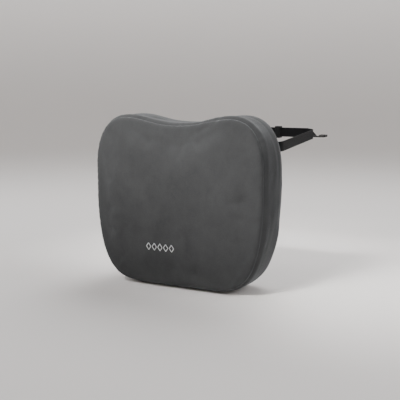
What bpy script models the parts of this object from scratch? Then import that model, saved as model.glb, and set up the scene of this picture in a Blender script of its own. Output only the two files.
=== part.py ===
"""Headrest neck pillow: a foam core in a zipped cover, with an adjustable strap and side-release buckle."""
import math

import bmesh
import bpy
from mathutils import Matrix, Vector
from mathutils.geometry import interpolate_bezier

# Pillow outline seen from the front: X across, Z up from the flat base
WIDTH = 0.280
HEIGHT = 0.254
DIP_DEPTH = 0.011
DIP_REACH = 0.043
LOBE_X = 0.085
LOBE_INNER_REACH = 0.029
LOBE_OUTER_REACH = 0.0385
GIRTH_Z = 0.175
GIRTH_UPPER_REACH = 0.0455
GIRTH_LOWER_REACH = 0.034
FLANK_X = 0.135
FLANK_Z = 0.0765
FLANK_LEAN = math.radians(10)
FLANK_UPPER_REACH = 0.0335
FLANK_LOWER_REACH = 0.055
BASE_HALF = 0.057
BASE_REACH = 0.0485
ARC_STEPS = 12
BASE_STEPS = 4

# Pillow section, front at -Y
DEPTH = 0.079
CROWN = 0.0200
CROWN_FULLNESS = 2.2
CROWN_RINGS = 6
CROWN_TOP_ANGLE = math.radians(78)
FRONT_DRAW = 0.0036
FRONT_EASE = 0.014
REAR_ROUND = 0.0265
EASE_STEPS = 3
ROUND_STEPS = 6
FABRIC = 0.0012
SEAM_GAP = 0.0006
CORE_CLEARANCE = 0.0008
FIT_GAP = 0.0004
MERGE = 0.000001
FLAT_ANGLE = math.radians(0.1)
OVERCUT = 0.0015

# Zip, set in a slot near the foot of the back panel
ZIP_Z = 0.050
ZIP_HALF = 0.085
SLOT_END_ROOM = 0.0011
TAPE_TAIL = 0.009
TAPE_WIDTH = 0.010
TAPE_THICKNESS = 0.0006
TAPE_PARTING = 0.0006
TOOTH_PITCH = 0.0025
TOOTH_TIP = 0.0023
TOOTH_ROOT = 0.0017
TOOTH_THICKNESS = 0.0016
STOP_LENGTH = 0.0027
STOP_HEIGHT = 0.0054
SLIDER_FROM_END = 0.005
SLIDER_LENGTH = 0.009
SLIDER_HALF_HEIGHT = 0.0038
SLIDER_ROOF = 0.0014
ARCH_HALF = 0.0034
ARCH_LEG = 0.0008
ARCH_HALF_WIDTH = 0.0009
ARCH_OPENING = 0.0023
ARCH_ROOF = 0.0008
PULL_BAR = 0.0009
PULL_LENGTH = 0.022
PULL_HALF_WIDTH = 0.003
PULL_EYE_LENGTH = 0.0048
PULL_EYE_HALF = 0.0014
PULL_LIFT = 0.0012
LAYER_GAP = 0.0003
POCKET_ROOM = 0.0008
STOP_EDGE = 0.0004
SLIDER_EDGE = 0.0008
ARCH_EDGE = 0.0004
PULL_CORNER = 0.0015

# Webbing strap, sewn flat on the back panel under a patch at each side
WEB_WIDTH = 0.015
WEB_THICKNESS = 0.0014
STRAP_DROP = 0.047
STRAP_RISE = 0.0115
SEWN_START = 0.090
SEWN_END = 0.112
SIDE_BEND = 0.015
SIDE_SLANT = math.radians(1)
REAR_Y = 0.208
REAR_BEND = 0.018
BEND_STEPS = 8
PATCH_BORDER = 0.0035
PATCH_THICKNESS = 0.0012
PATCH_MARGIN = 0.003
PATCH_EDGE = 0.0004

# Buckle, closed, on the rear run of the strap; BAR_WRAP is the webbing's centre radius round a bar
BAR_WRAP = 0.0032
BAR_HALF = 0.0015
PLUG_BAR_X = 0.017
SOCKET_BAR_X = -0.018
BUCKLE_WALL = 0.0029
WEB_ROOM = 0.0006
WEB_SLOT_ROOM = 0.0012
PLUG_HALF_THICKNESS = 0.0015
PLUG_SHOULDER_X = 0.0042
GUIDE_TIP_X = -0.0110
GUIDE_HALF = 0.0018
PRONG_TIP_X = -0.0100
PRONG_BARB_X = -0.0045
PRONG_INNER = 0.0046
PRONG_SPLAY = 0.0006
PRONG_OUTER = 0.0066
PRONG_BARB = 0.0074
PRONG_NECK_X = -0.0042
PRONG_NECK = 0.0063
GUIDE_TIP_ROOM = 0.0010
SOCKET_END_WALL = 0.0012
SOCKET_WALL = 0.0022
PRONG_ROOM = 0.0005
SOCKET_WINDOW_X = (-0.0108, -0.0030)
SOCKET_EDGE = 0.0012
BAR_FRAME_STEP = 0.0004

# Strap slide: a frame with a bar between the two layers of webbing
SLIDE_X = 0.058
SLIDE_LENGTH = 0.009
SLIDE_WALL = 0.0018
SLIDE_HALF_THICKNESS = 0.0060
SLIDE_LAYER_ROOM = 0.0005
SLIDE_EDGE = 0.0008

# Free end of the strap: turns flat past the rear corner and is hemmed over
TAIL_TURN_X = 0.109
TAIL_TURN_LENGTH = 0.013
TAIL_TIP_X = 0.140
TAIL_DROP = 0.006
HEM_WRAP = 0.0013
HEM_LENGTH = 0.010
FOLD_BACK_X = -0.045
TURN_STEPS = 6

BACK_Y = DEPTH / 2
TAPE_HALF = ZIP_HALF + TAPE_TAIL
SLOT_HALF = ZIP_HALF + FIT_GAP + STOP_LENGTH + SLOT_END_ROOM
SLOT_HALF_HEIGHT = SLIDER_HALF_HEIGHT + FIT_GAP
CHANNEL_HALF_HEIGHT = TOOTH_TIP + FIT_GAP
SLIDER_X = ZIP_HALF - SLIDER_FROM_END
PANEL_INNER_Y = BACK_Y - FABRIC
TAPE_Y = PANEL_INNER_Y - LAYER_GAP - TAPE_THICKNESS
TEETH_Y = TAPE_Y + TAPE_THICKNESS + LAYER_GAP
TEETH_TOP_Y = TEETH_Y + TOOTH_THICKNESS
SLIDER_TOP_Y = TEETH_TOP_Y + FIT_GAP + SLIDER_ROOF
PULL_Y = SLIDER_TOP_Y + PULL_LIFT
SEWN_Y = BACK_Y + FIT_GAP + WEB_THICKNESS / 2
BUCKLE_Y = REAR_Y + BAR_WRAP
OUTER_Y = BUCKLE_Y + BAR_WRAP
STRAP_Z = HEIGHT - STRAP_DROP
REAR_Z = STRAP_Z + STRAP_RISE
PATCH_HALF_HEIGHT = WEB_WIDTH / 2 + PATCH_BORDER
WEB_SLOT_HALF = WEB_WIDTH / 2 + WEB_ROOM
WEB_SLOT = BAR_WRAP + WEB_THICKNESS / 2 - BAR_HALF + WEB_SLOT_ROOM
BUCKLE_HALF_HEIGHT = WEB_SLOT_HALF + BUCKLE_WALL
BAR_FRAME_HALF_HEIGHT = BUCKLE_HALF_HEIGHT - BAR_FRAME_STEP
SOCKET_MOUTH_X = PLUG_SHOULDER_X - FIT_GAP
SOCKET_POCKET_END_X = GUIDE_TIP_X - GUIDE_TIP_ROOM
SOCKET_BODY_END_X = SOCKET_POCKET_END_X - SOCKET_END_WALL
SOCKET_POCKET_HALF_HEIGHT = PRONG_BARB + PRONG_ROOM
SOCKET_POCKET_HALF_THICKNESS = PLUG_HALF_THICKNESS + FIT_GAP
SOCKET_HALF_THICKNESS = SOCKET_POCKET_HALF_THICKNESS + SOCKET_WALL
SLIDE_OPENING_HALF_HEIGHT = WEB_WIDTH / 2 + WEB_ROOM
SLIDE_HALF_HEIGHT = SLIDE_OPENING_HALF_HEIGHT + SLIDE_WALL
SLIDE_BAR_HALF = BAR_WRAP - WEB_THICKNESS / 2 - SLIDE_LAYER_ROOM
SLIDE_OPENING_OUTER = BAR_WRAP + WEB_THICKNESS / 2 + SLIDE_LAYER_ROOM

PARTS = bpy.data.collections.new("headrest_neck_pillow")
CUTTERS = bpy.data.collections.new("cutters")


def clear_scene():
    """Empty the scene and link the two collections."""
    for thing in list(bpy.data.objects):
        bpy.data.objects.remove(thing, do_unlink=True)
    bpy.context.scene.collection.children.link(PARTS)
    bpy.context.scene.collection.children.link(CUTTERS)


def finish(name, color, roughness, metallic=0.0):
    """One Principled material."""
    material = bpy.data.materials.new(name)
    material.use_nodes = True
    shader = material.node_tree.nodes["Principled BSDF"]
    shader.inputs["Base Color"].default_value = (*color, 1.0)
    shader.inputs["Roughness"].default_value = roughness
    shader.inputs["Metallic"].default_value = metallic
    return material


def place(name, data, collection=PARTS):
    """Link an object holding the given mesh or curve."""
    thing = bpy.data.objects.new(name, data)
    collection.objects.link(thing)
    if collection is CUTTERS:
        thing.hide_render = True
        thing.display_type = "WIRE"
    return thing


def box(name, low, high, collection=PARTS, bevel=0.0):
    """Box between two corners, its object origin at its centre."""
    mesh = bpy.data.meshes.new(name)
    shape = bmesh.new()
    bmesh.ops.create_cube(shape, size=1.0)
    size = Vector(high) - Vector(low)
    bmesh.ops.scale(shape, vec=size, verts=shape.verts)
    shape.to_mesh(mesh)
    shape.free()
    thing = place(name, mesh, collection)
    thing.location = (Vector(low) + Vector(high)) / 2
    if bevel:
        round_edges(thing, bevel)
    return thing


def round_edges(thing, width):
    """Rounded edges."""
    edge = thing.modifiers.new("rounded edges", "BEVEL")
    edge.width = width
    edge.segments = 2
    edge.limit_method = "ANGLE"


def combine(thing, other, operation):
    """Exact Boolean of a part with a hidden tool body."""
    change = thing.modifiers.new(operation.lower(), "BOOLEAN")
    change.operation = operation
    change.solver = "EXACT"
    change.object = other


def thicken(thing, thickness):
    """Cloth thickness, inwards from the outer face."""
    skin = thing.modifiers.new("thickness", "SOLIDIFY")
    skin.thickness = thickness
    skin.offset = -1.0
    skin.use_even_offset = True


def extruded(name, outline, half_thickness, centre):
    """Flat outline in X and Z, given about the centre, extruded along Y."""
    curve = bpy.data.curves.new(name, "CURVE")
    curve.dimensions = "2D"
    curve.fill_mode = "BOTH"
    curve.extrude = half_thickness
    line = curve.splines.new("POLY")
    line.points.add(len(outline) - 1)
    for knot, (x, z) in zip(line.points, outline):
        knot.co = (x, z, 0.0, 1.0)
    line.use_cyclic_u = True
    thing = place(name, curve)
    thing.rotation_euler = (math.pi / 2, 0.0, 0.0)
    thing.location = centre
    return thing


def to_mesh(thing):
    """Turn a curve object into a mesh object of the same name, its origin kept."""
    name = thing.name
    centre = Vector(thing.location)
    mesh = bpy.data.meshes.new_from_object(thing)
    mesh.transform(Matrix.Translation(-centre) @ thing.matrix_basis)
    bpy.data.objects.remove(thing, do_unlink=True)
    mesh.name = name
    shape = bmesh.new()
    shape.from_mesh(mesh)
    bmesh.ops.remove_doubles(shape, verts=shape.verts, dist=MERGE)
    bmesh.ops.dissolve_limit(shape, angle_limit=FLAT_ANGLE, verts=shape.verts, edges=shape.edges)
    shape.to_mesh(mesh)
    shape.free()
    solid = place(name, mesh)
    solid.location = centre
    return solid


def outline_points():
    """Pillow outline as X, Z points, clockwise from the dip in the top edge."""
    half = WIDTH / 2
    lean = Vector((-math.sin(FLANK_LEAN), -math.cos(FLANK_LEAN)))
    dip = Vector((0.0, HEIGHT - DIP_DEPTH))
    lobe = Vector((LOBE_X, HEIGHT))
    girth = Vector((half, GIRTH_Z))
    flank = Vector((FLANK_X, FLANK_Z))
    base = Vector((BASE_HALF, 0.0))
    across = Vector((1.0, 0.0))
    down = Vector((0.0, -1.0))
    arcs = [
        (dip, dip + across * DIP_REACH, lobe - across * LOBE_INNER_REACH, lobe),
        (lobe, lobe + across * LOBE_OUTER_REACH, girth - down * GIRTH_UPPER_REACH, girth),
        (girth, girth + down * GIRTH_LOWER_REACH, flank - lean * FLANK_UPPER_REACH, flank),
        (flank, flank + lean * FLANK_LOWER_REACH, base + across * BASE_REACH, base),
    ]
    right = []
    for arc in arcs:
        right += interpolate_bezier(*arc, ARC_STEPS + 1)[:-1]
    right += [base.lerp(Vector((0.0, 0.0)), step / BASE_STEPS) for step in range(BASE_STEPS + 1)]
    left = [Vector((-point.x, point.y)) for point in reversed(right[1:-1])]
    return right + left


def outline_ring(inset, y, shrink=1.0):
    """The outline drawn in by an inset, shrunk about the pillow's centre and set at depth y."""
    points = outline_points()
    centre = Vector((0.0, HEIGHT / 2))
    ring = []
    for index, point in enumerate(points):
        along = (points[(index + 1) % len(points)] - points[index - 1]).normalized()
        inner = point + Vector((along.y, -along.x)) * inset
        inner = centre + (inner - centre) * shrink
        ring.append(Vector((inner.x, y, inner.y)))
    return ring


def loft(name, rings, first_capped=False, last_capped=False):
    """Surface through closed rings of equal count."""
    mesh = bpy.data.meshes.new(name)
    shape = bmesh.new()
    loops = []
    for ring in rings:
        corners = [shape.verts.new(point) for point in ring]
        following = corners[1:] + corners[:1]
        loops.append([shape.edges.new(pair) for pair in zip(corners, following)])
    for loop, following in zip(loops, loops[1:]):
        bmesh.ops.bridge_loops(shape, edges=loop + following)
    if first_capped:
        bmesh.ops.contextual_create(shape, geom=loops[0])
    if last_capped:
        bmesh.ops.contextual_create(shape, geom=loops[-1])
    bmesh.ops.recalc_face_normals(shape, faces=shape.faces)
    shape.to_mesh(mesh)
    shape.free()
    return place(name, mesh)


def crown_rings(skin, start_y):
    """Rings of the superellipse crown, from its edge to its top."""
    rings = []
    for step in range(CROWN_RINGS + 1):
        angle = CROWN_TOP_ANGLE * step / CROWN_RINGS
        shrink = math.cos(angle) ** (2 / CROWN_FULLNESS)
        rise = (CROWN - skin) * math.sin(angle) ** (2 / CROWN_FULLNESS)
        rings.append(outline_ring(FRONT_DRAW + skin, start_y - rise, shrink))
    return rings


def side_rings(skin, start_y):
    """Rings of the side band, from the front seam, over its belly and round to the back seam."""
    rings = []
    for step in range(EASE_STEPS + 1):
        share = step / EASE_STEPS
        rings.append(outline_ring(FRONT_DRAW * (1 - share) ** 2 + skin, start_y + FRONT_EASE * share))
    radius = REAR_ROUND - skin
    for step in range(ROUND_STEPS + 1):
        angle = math.pi / 2 * step / ROUND_STEPS
        inset = REAR_ROUND - radius * math.cos(angle)
        rings.append(outline_ring(inset, BACK_Y - REAR_ROUND + radius * math.sin(angle)))
    return rings


def build_cover(suede, backing):
    """Front panel, side band and back panel, each an open surface with the cloth's thickness."""
    front = loft("front_panel", crown_rings(0.0, -BACK_Y - SEAM_GAP / 2), last_capped=True)
    front.data.materials.append(suede)
    thicken(front, FABRIC)
    band = loft("side_band", side_rings(0.0, -BACK_Y + SEAM_GAP / 2))
    band.data.materials.append(suede)
    thicken(band, FABRIC)
    edge = [(point.x, point.z) for point in outline_ring(REAR_ROUND + SEAM_GAP, 0.0)]
    back = to_mesh(extruded("back_panel", edge, FABRIC / 2, (0.0, BACK_Y - FABRIC / 2, 0.0)))
    back.data.materials.append(backing)
    low = (-SLOT_HALF, PANEL_INNER_Y - OVERCUT, ZIP_Z - SLOT_HALF_HEIGHT)
    high = (SLOT_HALF, BACK_Y + OVERCUT, ZIP_Z + SLOT_HALF_HEIGHT)
    slot = box("zip_slot_cutter", low, high, CUTTERS)
    combine(back, slot, "DIFFERENCE")


def build_core(foam):
    """One-piece foam core that fills the cover, with a shallow pocket behind the zip."""
    skin = FABRIC + CORE_CLEARANCE
    rings = list(reversed(crown_rings(skin, -BACK_Y))) + side_rings(skin, -BACK_Y)[1:]
    core = loft("foam_core", rings, first_capped=True, last_capped=True)
    core.data.materials.append(foam)
    reach = TAPE_HALF + POCKET_ROOM
    half = TAPE_WIDTH + TAPE_PARTING / 2 + POCKET_ROOM
    low = (-reach, TAPE_Y - POCKET_ROOM, ZIP_Z - half)
    high = (reach, BACK_Y, ZIP_Z + half)
    pocket = box("zip_pocket_cutter", low, high, CUTTERS)
    combine(core, pocket, "DIFFERENCE")


def build_zip(tape, coil, metal):
    """Tapes, closed chain, end stops, and the slider with its hinged pull."""
    parting = TAPE_PARTING / 2
    for side, name in ((1, "zip_tape_upper"), (-1, "zip_tape_lower")):
        inner = ZIP_Z + side * parting
        outer = inner + side * TAPE_WIDTH
        low = (-TAPE_HALF, TAPE_Y, min(inner, outer))
        strip = box(name, low, (TAPE_HALF, TAPE_Y + TAPE_THICKNESS, max(inner, outer)))
        strip.data.materials.append(tape)
    count = round(2 * ZIP_HALF / TOOTH_PITCH)
    upper = []
    for tooth in range(count):
        start = -ZIP_HALF + tooth * TOOTH_PITCH
        upper += [(start, TOOTH_ROOT), (start + TOOTH_PITCH / 2, TOOTH_TIP)]
    upper.append((ZIP_HALF, TOOTH_ROOT))
    lower = [(x, -z) for x, z in reversed(upper)]
    centre = (0.0, (TEETH_Y + TEETH_TOP_Y) / 2, ZIP_Z)
    chain = extruded("zip_chain", upper + lower, TOOTH_THICKNESS / 2, centre)
    chain.data.materials.append(coil)
    for side, name in ((1, "zip_stop_closed_end"), (-1, "zip_stop_open_end")):
        inner = side * (ZIP_HALF + FIT_GAP)
        outer = inner + side * STOP_LENGTH
        low = (min(inner, outer), TEETH_Y, ZIP_Z - STOP_HEIGHT / 2)
        high = (max(inner, outer), TEETH_TOP_Y, ZIP_Z + STOP_HEIGHT / 2)
        stop = box(name, low, high, bevel=STOP_EDGE)
        stop.data.materials.append(metal)
    build_slider(metal)


def build_slider(metal):
    """Slider bridging the chain, its arch, and the pull whose bar turns under the arch."""
    half = SLIDER_LENGTH / 2
    low = (SLIDER_X - half, TEETH_Y, ZIP_Z - SLIDER_HALF_HEIGHT)
    high = (SLIDER_X + half, SLIDER_TOP_Y, ZIP_Z + SLIDER_HALF_HEIGHT)
    slider = box("zip_slider", low, high, bevel=SLIDER_EDGE)
    slider.data.materials.append(metal)
    low = (SLIDER_X - half - OVERCUT, TEETH_Y - OVERCUT, ZIP_Z - CHANNEL_HALF_HEIGHT)
    high = (SLIDER_X + half + OVERCUT, TEETH_TOP_Y + FIT_GAP, ZIP_Z + CHANNEL_HALF_HEIGHT)
    combine(slider, box("slider_channel_cutter", low, high, CUTTERS), "DIFFERENCE")
    arch_top = SLIDER_TOP_Y + ARCH_OPENING + ARCH_ROOF
    low = (SLIDER_X - ARCH_HALF, SLIDER_TOP_Y - SLIDER_ROOF / 2, ZIP_Z - ARCH_HALF_WIDTH)
    high = (SLIDER_X + ARCH_HALF, arch_top, ZIP_Z + ARCH_HALF_WIDTH)
    combine(slider, box("slider_arch_body", low, high, CUTTERS, bevel=ARCH_EDGE), "UNION")
    inner = ARCH_HALF - ARCH_LEG
    low = (SLIDER_X - inner, SLIDER_TOP_Y, ZIP_Z - ARCH_HALF_WIDTH - OVERCUT)
    high = (SLIDER_X + inner, arch_top - ARCH_ROOF, ZIP_Z + ARCH_HALF_WIDTH + OVERCUT)
    combine(slider, box("slider_arch_cutter", low, high, CUTTERS), "DIFFERENCE")
    bar = PULL_BAR / 2
    corner = PULL_CORNER
    outline = [
        (-bar, PULL_HALF_WIDTH - corner),
        (-bar, -PULL_HALF_WIDTH + corner),
        (corner, -PULL_HALF_WIDTH),
        (PULL_LENGTH - corner, -PULL_HALF_WIDTH),
        (PULL_LENGTH, -PULL_HALF_WIDTH + corner),
        (PULL_LENGTH, PULL_HALF_WIDTH - corner),
        (PULL_LENGTH - corner, PULL_HALF_WIDTH),
        (corner, PULL_HALF_WIDTH),
    ]
    pull = to_mesh(extruded("zip_pull", outline, bar, (SLIDER_X, PULL_Y, ZIP_Z)))
    pull.data.materials.append(metal)
    low = (SLIDER_X + bar, PULL_Y - bar - OVERCUT, ZIP_Z - PULL_EYE_HALF)
    high = (SLIDER_X + bar + PULL_EYE_LENGTH, PULL_Y + bar + OVERCUT, ZIP_Z + PULL_EYE_HALF)
    combine(pull, box("pull_eye_cutter", low, high, CUTTERS), "DIFFERENCE")


def webbing(name, stations):
    """Webbing swept along its stations, each a point and the direction of the webbing's width."""
    rings = []
    for index, (point, across) in enumerate(stations):
        before = stations[max(index - 1, 0)][0]
        after = stations[min(index + 1, len(stations) - 1)][0]
        along = (after - before).normalized()
        half_width = across * (WEB_WIDTH / 2)
        half_thickness = along.cross(across).normalized() * (WEB_THICKNESS / 2)
        rings.append([
            point - half_width - half_thickness,
            point + half_width - half_thickness,
            point + half_width + half_thickness,
            point - half_width + half_thickness,
        ])
    return loft(name, rings, first_capped=True, last_capped=True)


def bend(centre, radius, start, end, steps):
    """Points in plan on an arc about a centre."""
    angles = [start + (end - start) * step / steps for step in range(steps + 1)]
    return [centre + Vector((math.cos(angle), math.sin(angle))) * radius for angle in angles]


def strap_plan(bar_x):
    """Plan of the right-hand strap from its sewn end, round behind, to and round a buckle bar."""
    sewn = Vector((SEWN_END, SEWN_Y))
    side_centre = sewn + Vector((0.0, SIDE_BEND))
    side = bend(side_centre, SIDE_BEND, -math.pi / 2, SIDE_SLANT, BEND_STEPS)
    out = Vector((math.cos(SIDE_SLANT), math.sin(SIDE_SLANT)))
    back = Vector((-out.y, out.x))
    run = (REAR_Y - REAR_BEND + REAR_BEND * out.y - side[-1].y) / back.y
    rear_centre = side[-1] + back * run - out * REAR_BEND
    rear = bend(rear_centre, REAR_BEND, SIDE_SLANT, math.pi / 2, BEND_STEPS)
    bar = Vector((bar_x, BUCKLE_Y))
    loop = bend(bar, BAR_WRAP, -math.pi / 2, -3 * math.pi / 2, BEND_STEPS)
    return [Vector((SEWN_START, SEWN_Y))] + side + rear + loop


def rising(plan, mirror):
    """Stations of upright webbing that climbs steadily to the rear run."""
    upright = Vector((0.0, 0.0, 1.0))
    stations = []
    for point in plan:
        climb = (min(point.y, REAR_Y) - SEWN_Y) / (REAR_Y - SEWN_Y)
        height = STRAP_Z + STRAP_RISE * climb
        stations.append((Vector((mirror * point.x, point.y, height)), upright))
    return stations


def build_strap(web, suede):
    """Both halves of the strap, and the patches that sew them to the back panel."""
    right = rising(strap_plan(PLUG_BAR_X), 1)
    for step in range(TURN_STEPS + 1):
        turn = math.pi / 2 * step / TURN_STEPS
        share = step / TURN_STEPS
        point = Vector((TAIL_TURN_X + TAIL_TURN_LENGTH * share, OUTER_Y, REAR_Z - TAIL_DROP * share))
        right.append((point, Vector((0.0, math.sin(turn), math.cos(turn)))))
    flat = Vector((0.0, 1.0, 0.0))
    tail_z = REAR_Z - TAIL_DROP
    for angle in [math.pi * (step / TURN_STEPS - 0.5) for step in range(TURN_STEPS + 1)]:
        x = TAIL_TIP_X - HEM_WRAP + HEM_WRAP * math.cos(angle)
        right.append((Vector((x, OUTER_Y, tail_z + HEM_WRAP + HEM_WRAP * math.sin(angle))), flat))
    right.append((Vector((TAIL_TIP_X - HEM_LENGTH, OUTER_Y, tail_z + 2 * HEM_WRAP)), flat))
    webbing("strap_right", right).data.materials.append(web)
    plan = strap_plan(-SOCKET_BAR_X)
    plan.append(Vector((-FOLD_BACK_X, OUTER_Y)))
    webbing("strap_left", rising(plan, -1)).data.materials.append(web)
    near = SEWN_Y + WEB_THICKNESS / 2 + FIT_GAP
    inner = SEWN_START - PATCH_MARGIN
    for side, name in ((1, "strap_patch_right"), (-1, "strap_patch_left")):
        low = (min(side * inner, side * SEWN_END), near, STRAP_Z - PATCH_HALF_HEIGHT)
        high = (max(side * inner, side * SEWN_END), near + PATCH_THICKNESS, STRAP_Z + PATCH_HALF_HEIGHT)
        box(name, low, high, bevel=PATCH_EDGE).data.materials.append(suede)


def web_slot(name, bar_x, side):
    """Tool body for the slot beside a buckle bar, on the given side of it."""
    edge = bar_x + side * BAR_HALF
    far = edge + side * WEB_SLOT
    low = (min(edge, far), BUCKLE_Y - SOCKET_HALF_THICKNESS, REAR_Z - WEB_SLOT_HALF)
    high = (max(edge, far), BUCKLE_Y + SOCKET_HALF_THICKNESS, REAR_Z + WEB_SLOT_HALF)
    return box(name, low, high, CUTTERS)


def build_buckle(plastic):
    """Buckle plug with its two sprung prongs, drawn pressed in, and the socket over them."""
    half = [
        (GUIDE_TIP_X, GUIDE_HALF),
        (PLUG_SHOULDER_X, GUIDE_HALF),
        (PLUG_SHOULDER_X, PRONG_INNER),
        (PRONG_TIP_X, PRONG_INNER + PRONG_SPLAY),
        (PRONG_TIP_X, PRONG_OUTER),
        (PRONG_BARB_X, PRONG_BARB),
        (PRONG_NECK_X, PRONG_NECK),
        (PLUG_SHOULDER_X, PRONG_OUTER),
        (PLUG_SHOULDER_X, BUCKLE_HALF_HEIGHT),
        (PLUG_BAR_X + BAR_HALF, BUCKLE_HALF_HEIGHT),
    ]
    outline = half + [(x, -z) for x, z in reversed(half)]
    plug = to_mesh(extruded("buckle_plug", outline, PLUG_HALF_THICKNESS, (0.0, BUCKLE_Y, REAR_Z)))
    plug.data.materials.append(plastic)
    combine(plug, web_slot("plug_slot_cutter", PLUG_BAR_X, -1), "DIFFERENCE")
    reach = BUCKLE_HALF_HEIGHT
    low = (SOCKET_BODY_END_X, BUCKLE_Y - SOCKET_HALF_THICKNESS, REAR_Z - reach)
    high = (SOCKET_MOUTH_X, BUCKLE_Y + SOCKET_HALF_THICKNESS, REAR_Z + reach)
    socket = box("buckle_socket", low, high, bevel=SOCKET_EDGE)
    socket.data.materials.append(plastic)
    low = (SOCKET_BAR_X - BAR_HALF, BUCKLE_Y - BAR_HALF, REAR_Z - BAR_FRAME_HALF_HEIGHT)
    high = (SOCKET_POCKET_END_X, BUCKLE_Y + BAR_HALF, REAR_Z + BAR_FRAME_HALF_HEIGHT)
    combine(socket, box("socket_bar_body", low, high, CUTTERS), "UNION")
    combine(socket, web_slot("socket_slot_cutter", SOCKET_BAR_X, 1), "DIFFERENCE")
    deep = SOCKET_POCKET_HALF_THICKNESS
    tall = SOCKET_POCKET_HALF_HEIGHT
    low = (SOCKET_POCKET_END_X, BUCKLE_Y - deep, REAR_Z - tall)
    high = (SOCKET_MOUTH_X + OVERCUT, BUCKLE_Y + deep, REAR_Z + tall)
    combine(socket, box("socket_pocket_cutter", low, high, CUTTERS), "DIFFERENCE")
    low = (SOCKET_WINDOW_X[0], BUCKLE_Y - deep, REAR_Z - reach - OVERCUT)
    high = (SOCKET_WINDOW_X[1], BUCKLE_Y + deep, REAR_Z + reach + OVERCUT)
    combine(socket, box("socket_window_cutter", low, high, CUTTERS), "DIFFERENCE")


def build_slide(plastic):
    """Strap slide: each layer of webbing passes through its own opening."""
    half = SLIDE_LENGTH / 2
    low = (SLIDE_X - half, BUCKLE_Y - SLIDE_HALF_THICKNESS, REAR_Z - SLIDE_HALF_HEIGHT)
    high = (SLIDE_X + half, BUCKLE_Y + SLIDE_HALF_THICKNESS, REAR_Z + SLIDE_HALF_HEIGHT)
    slide = box("strap_slide", low, high, bevel=SLIDE_EDGE)
    slide.data.materials.append(plastic)
    tall = SLIDE_OPENING_HALF_HEIGHT
    for side, name in ((-1, "slide_inner_cutter"), (1, "slide_outer_cutter")):
        near = side * SLIDE_BAR_HALF
        far = side * SLIDE_OPENING_OUTER
        low = (SLIDE_X - half - OVERCUT, BUCKLE_Y + min(near, far), REAR_Z - tall)
        high = (SLIDE_X + half + OVERCUT, BUCKLE_Y + max(near, far), REAR_Z + tall)
        combine(slide, box(name, low, high, CUTTERS), "DIFFERENCE")


def main():
    """Build the pillow from core to strap."""
    clear_scene()
    suede = finish("charcoal_suede", (0.075, 0.075, 0.074), 0.9)
    backing = finish("charcoal_backing_cloth", (0.050, 0.048, 0.047), 0.92)
    foam = finish("memory_foam", (0.78, 0.74, 0.62), 0.95)
    tape = finish("zip_tape_cloth", (0.030, 0.030, 0.031), 0.85)
    coil = finish("zip_nylon", (0.022, 0.022, 0.023), 0.5)
    metal = finish("zip_black_metal", (0.040, 0.040, 0.042), 0.35, 0.9)
    web = finish("black_webbing", (0.020, 0.020, 0.022), 0.8)
    plastic = finish("black_acetal", (0.012, 0.012, 0.013), 0.4)
    build_core(foam)
    build_cover(suede, backing)
    build_zip(tape, coil, metal)
    build_strap(web, suede)
    build_buckle(plastic)
    build_slide(plastic)


if __name__ == "__main__":
    main()
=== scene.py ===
"""Dresses the headrest neck pillow: brushed suede cover over foam, zip, webbing strap, buckle and a plain studio."""

import logging
import math
from dataclasses import dataclass
from enum import Enum
from typing import Any, Sequence

import bpy
import numpy as np
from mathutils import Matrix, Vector
from mathutils.bvhtree import BVHTree
from mathutils.geometry import interpolate_bezier


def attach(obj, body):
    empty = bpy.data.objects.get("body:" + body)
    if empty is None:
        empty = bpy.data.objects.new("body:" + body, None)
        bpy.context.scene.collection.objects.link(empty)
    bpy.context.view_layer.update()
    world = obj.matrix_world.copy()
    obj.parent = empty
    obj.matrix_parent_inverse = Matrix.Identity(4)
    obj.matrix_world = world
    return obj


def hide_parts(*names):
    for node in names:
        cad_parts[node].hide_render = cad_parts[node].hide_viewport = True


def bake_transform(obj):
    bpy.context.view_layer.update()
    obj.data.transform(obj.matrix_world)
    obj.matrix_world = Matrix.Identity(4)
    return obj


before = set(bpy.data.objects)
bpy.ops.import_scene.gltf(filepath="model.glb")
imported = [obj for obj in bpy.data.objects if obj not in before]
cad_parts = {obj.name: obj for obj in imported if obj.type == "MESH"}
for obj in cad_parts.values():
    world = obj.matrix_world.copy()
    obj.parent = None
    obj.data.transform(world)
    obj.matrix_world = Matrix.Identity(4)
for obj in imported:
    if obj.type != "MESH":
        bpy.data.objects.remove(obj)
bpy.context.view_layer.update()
LOG = logging.getLogger("neck_pillow")
MM = 0.001
# Height of the zip's middle on the back
ZIP_Z = 0.050
# The wave texture's own period in metres at a scale of one
WAVE_UNIT = 0.314


class Body(Enum):
    """The bodies that pieces ride on."""

    PILLOW = "pillow"
    ZIP_SLIDER = "zip_slider"
    ZIP_PULL = "zip_pull"
    BUCKLE_SOCKET = "buckle_socket"
    STRAP_SLIDE = "strap_slide"


class Panel(Enum):
    """The three cut pieces of the cover, by the node each one stands for."""

    FRONT = "front_panel"
    SIDE = "side_band"
    BACK = "back_panel"


class Side(Enum):
    """Right and left halves, seen from the front."""

    RIGHT = 1
    LEFT = -1


# ---- small tools ----


def linear(code: str) -> tuple[float, float, float, float]:
    """Turn an sRGB hex colour into linear RGBA.

    Args:
        code: six hex digits with a leading hash.

    Returns:
        Linear red, green, blue and an alpha of one.
    """
    shares = [int(code[place : place + 2], 16) / 255 for place in (1, 3, 5)]
    red, green, blue = [s / 12.92 if s <= 0.04045 else ((s + 0.055) / 1.055) ** 2.4 for s in shares]
    return red, green, blue, 1.0


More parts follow.
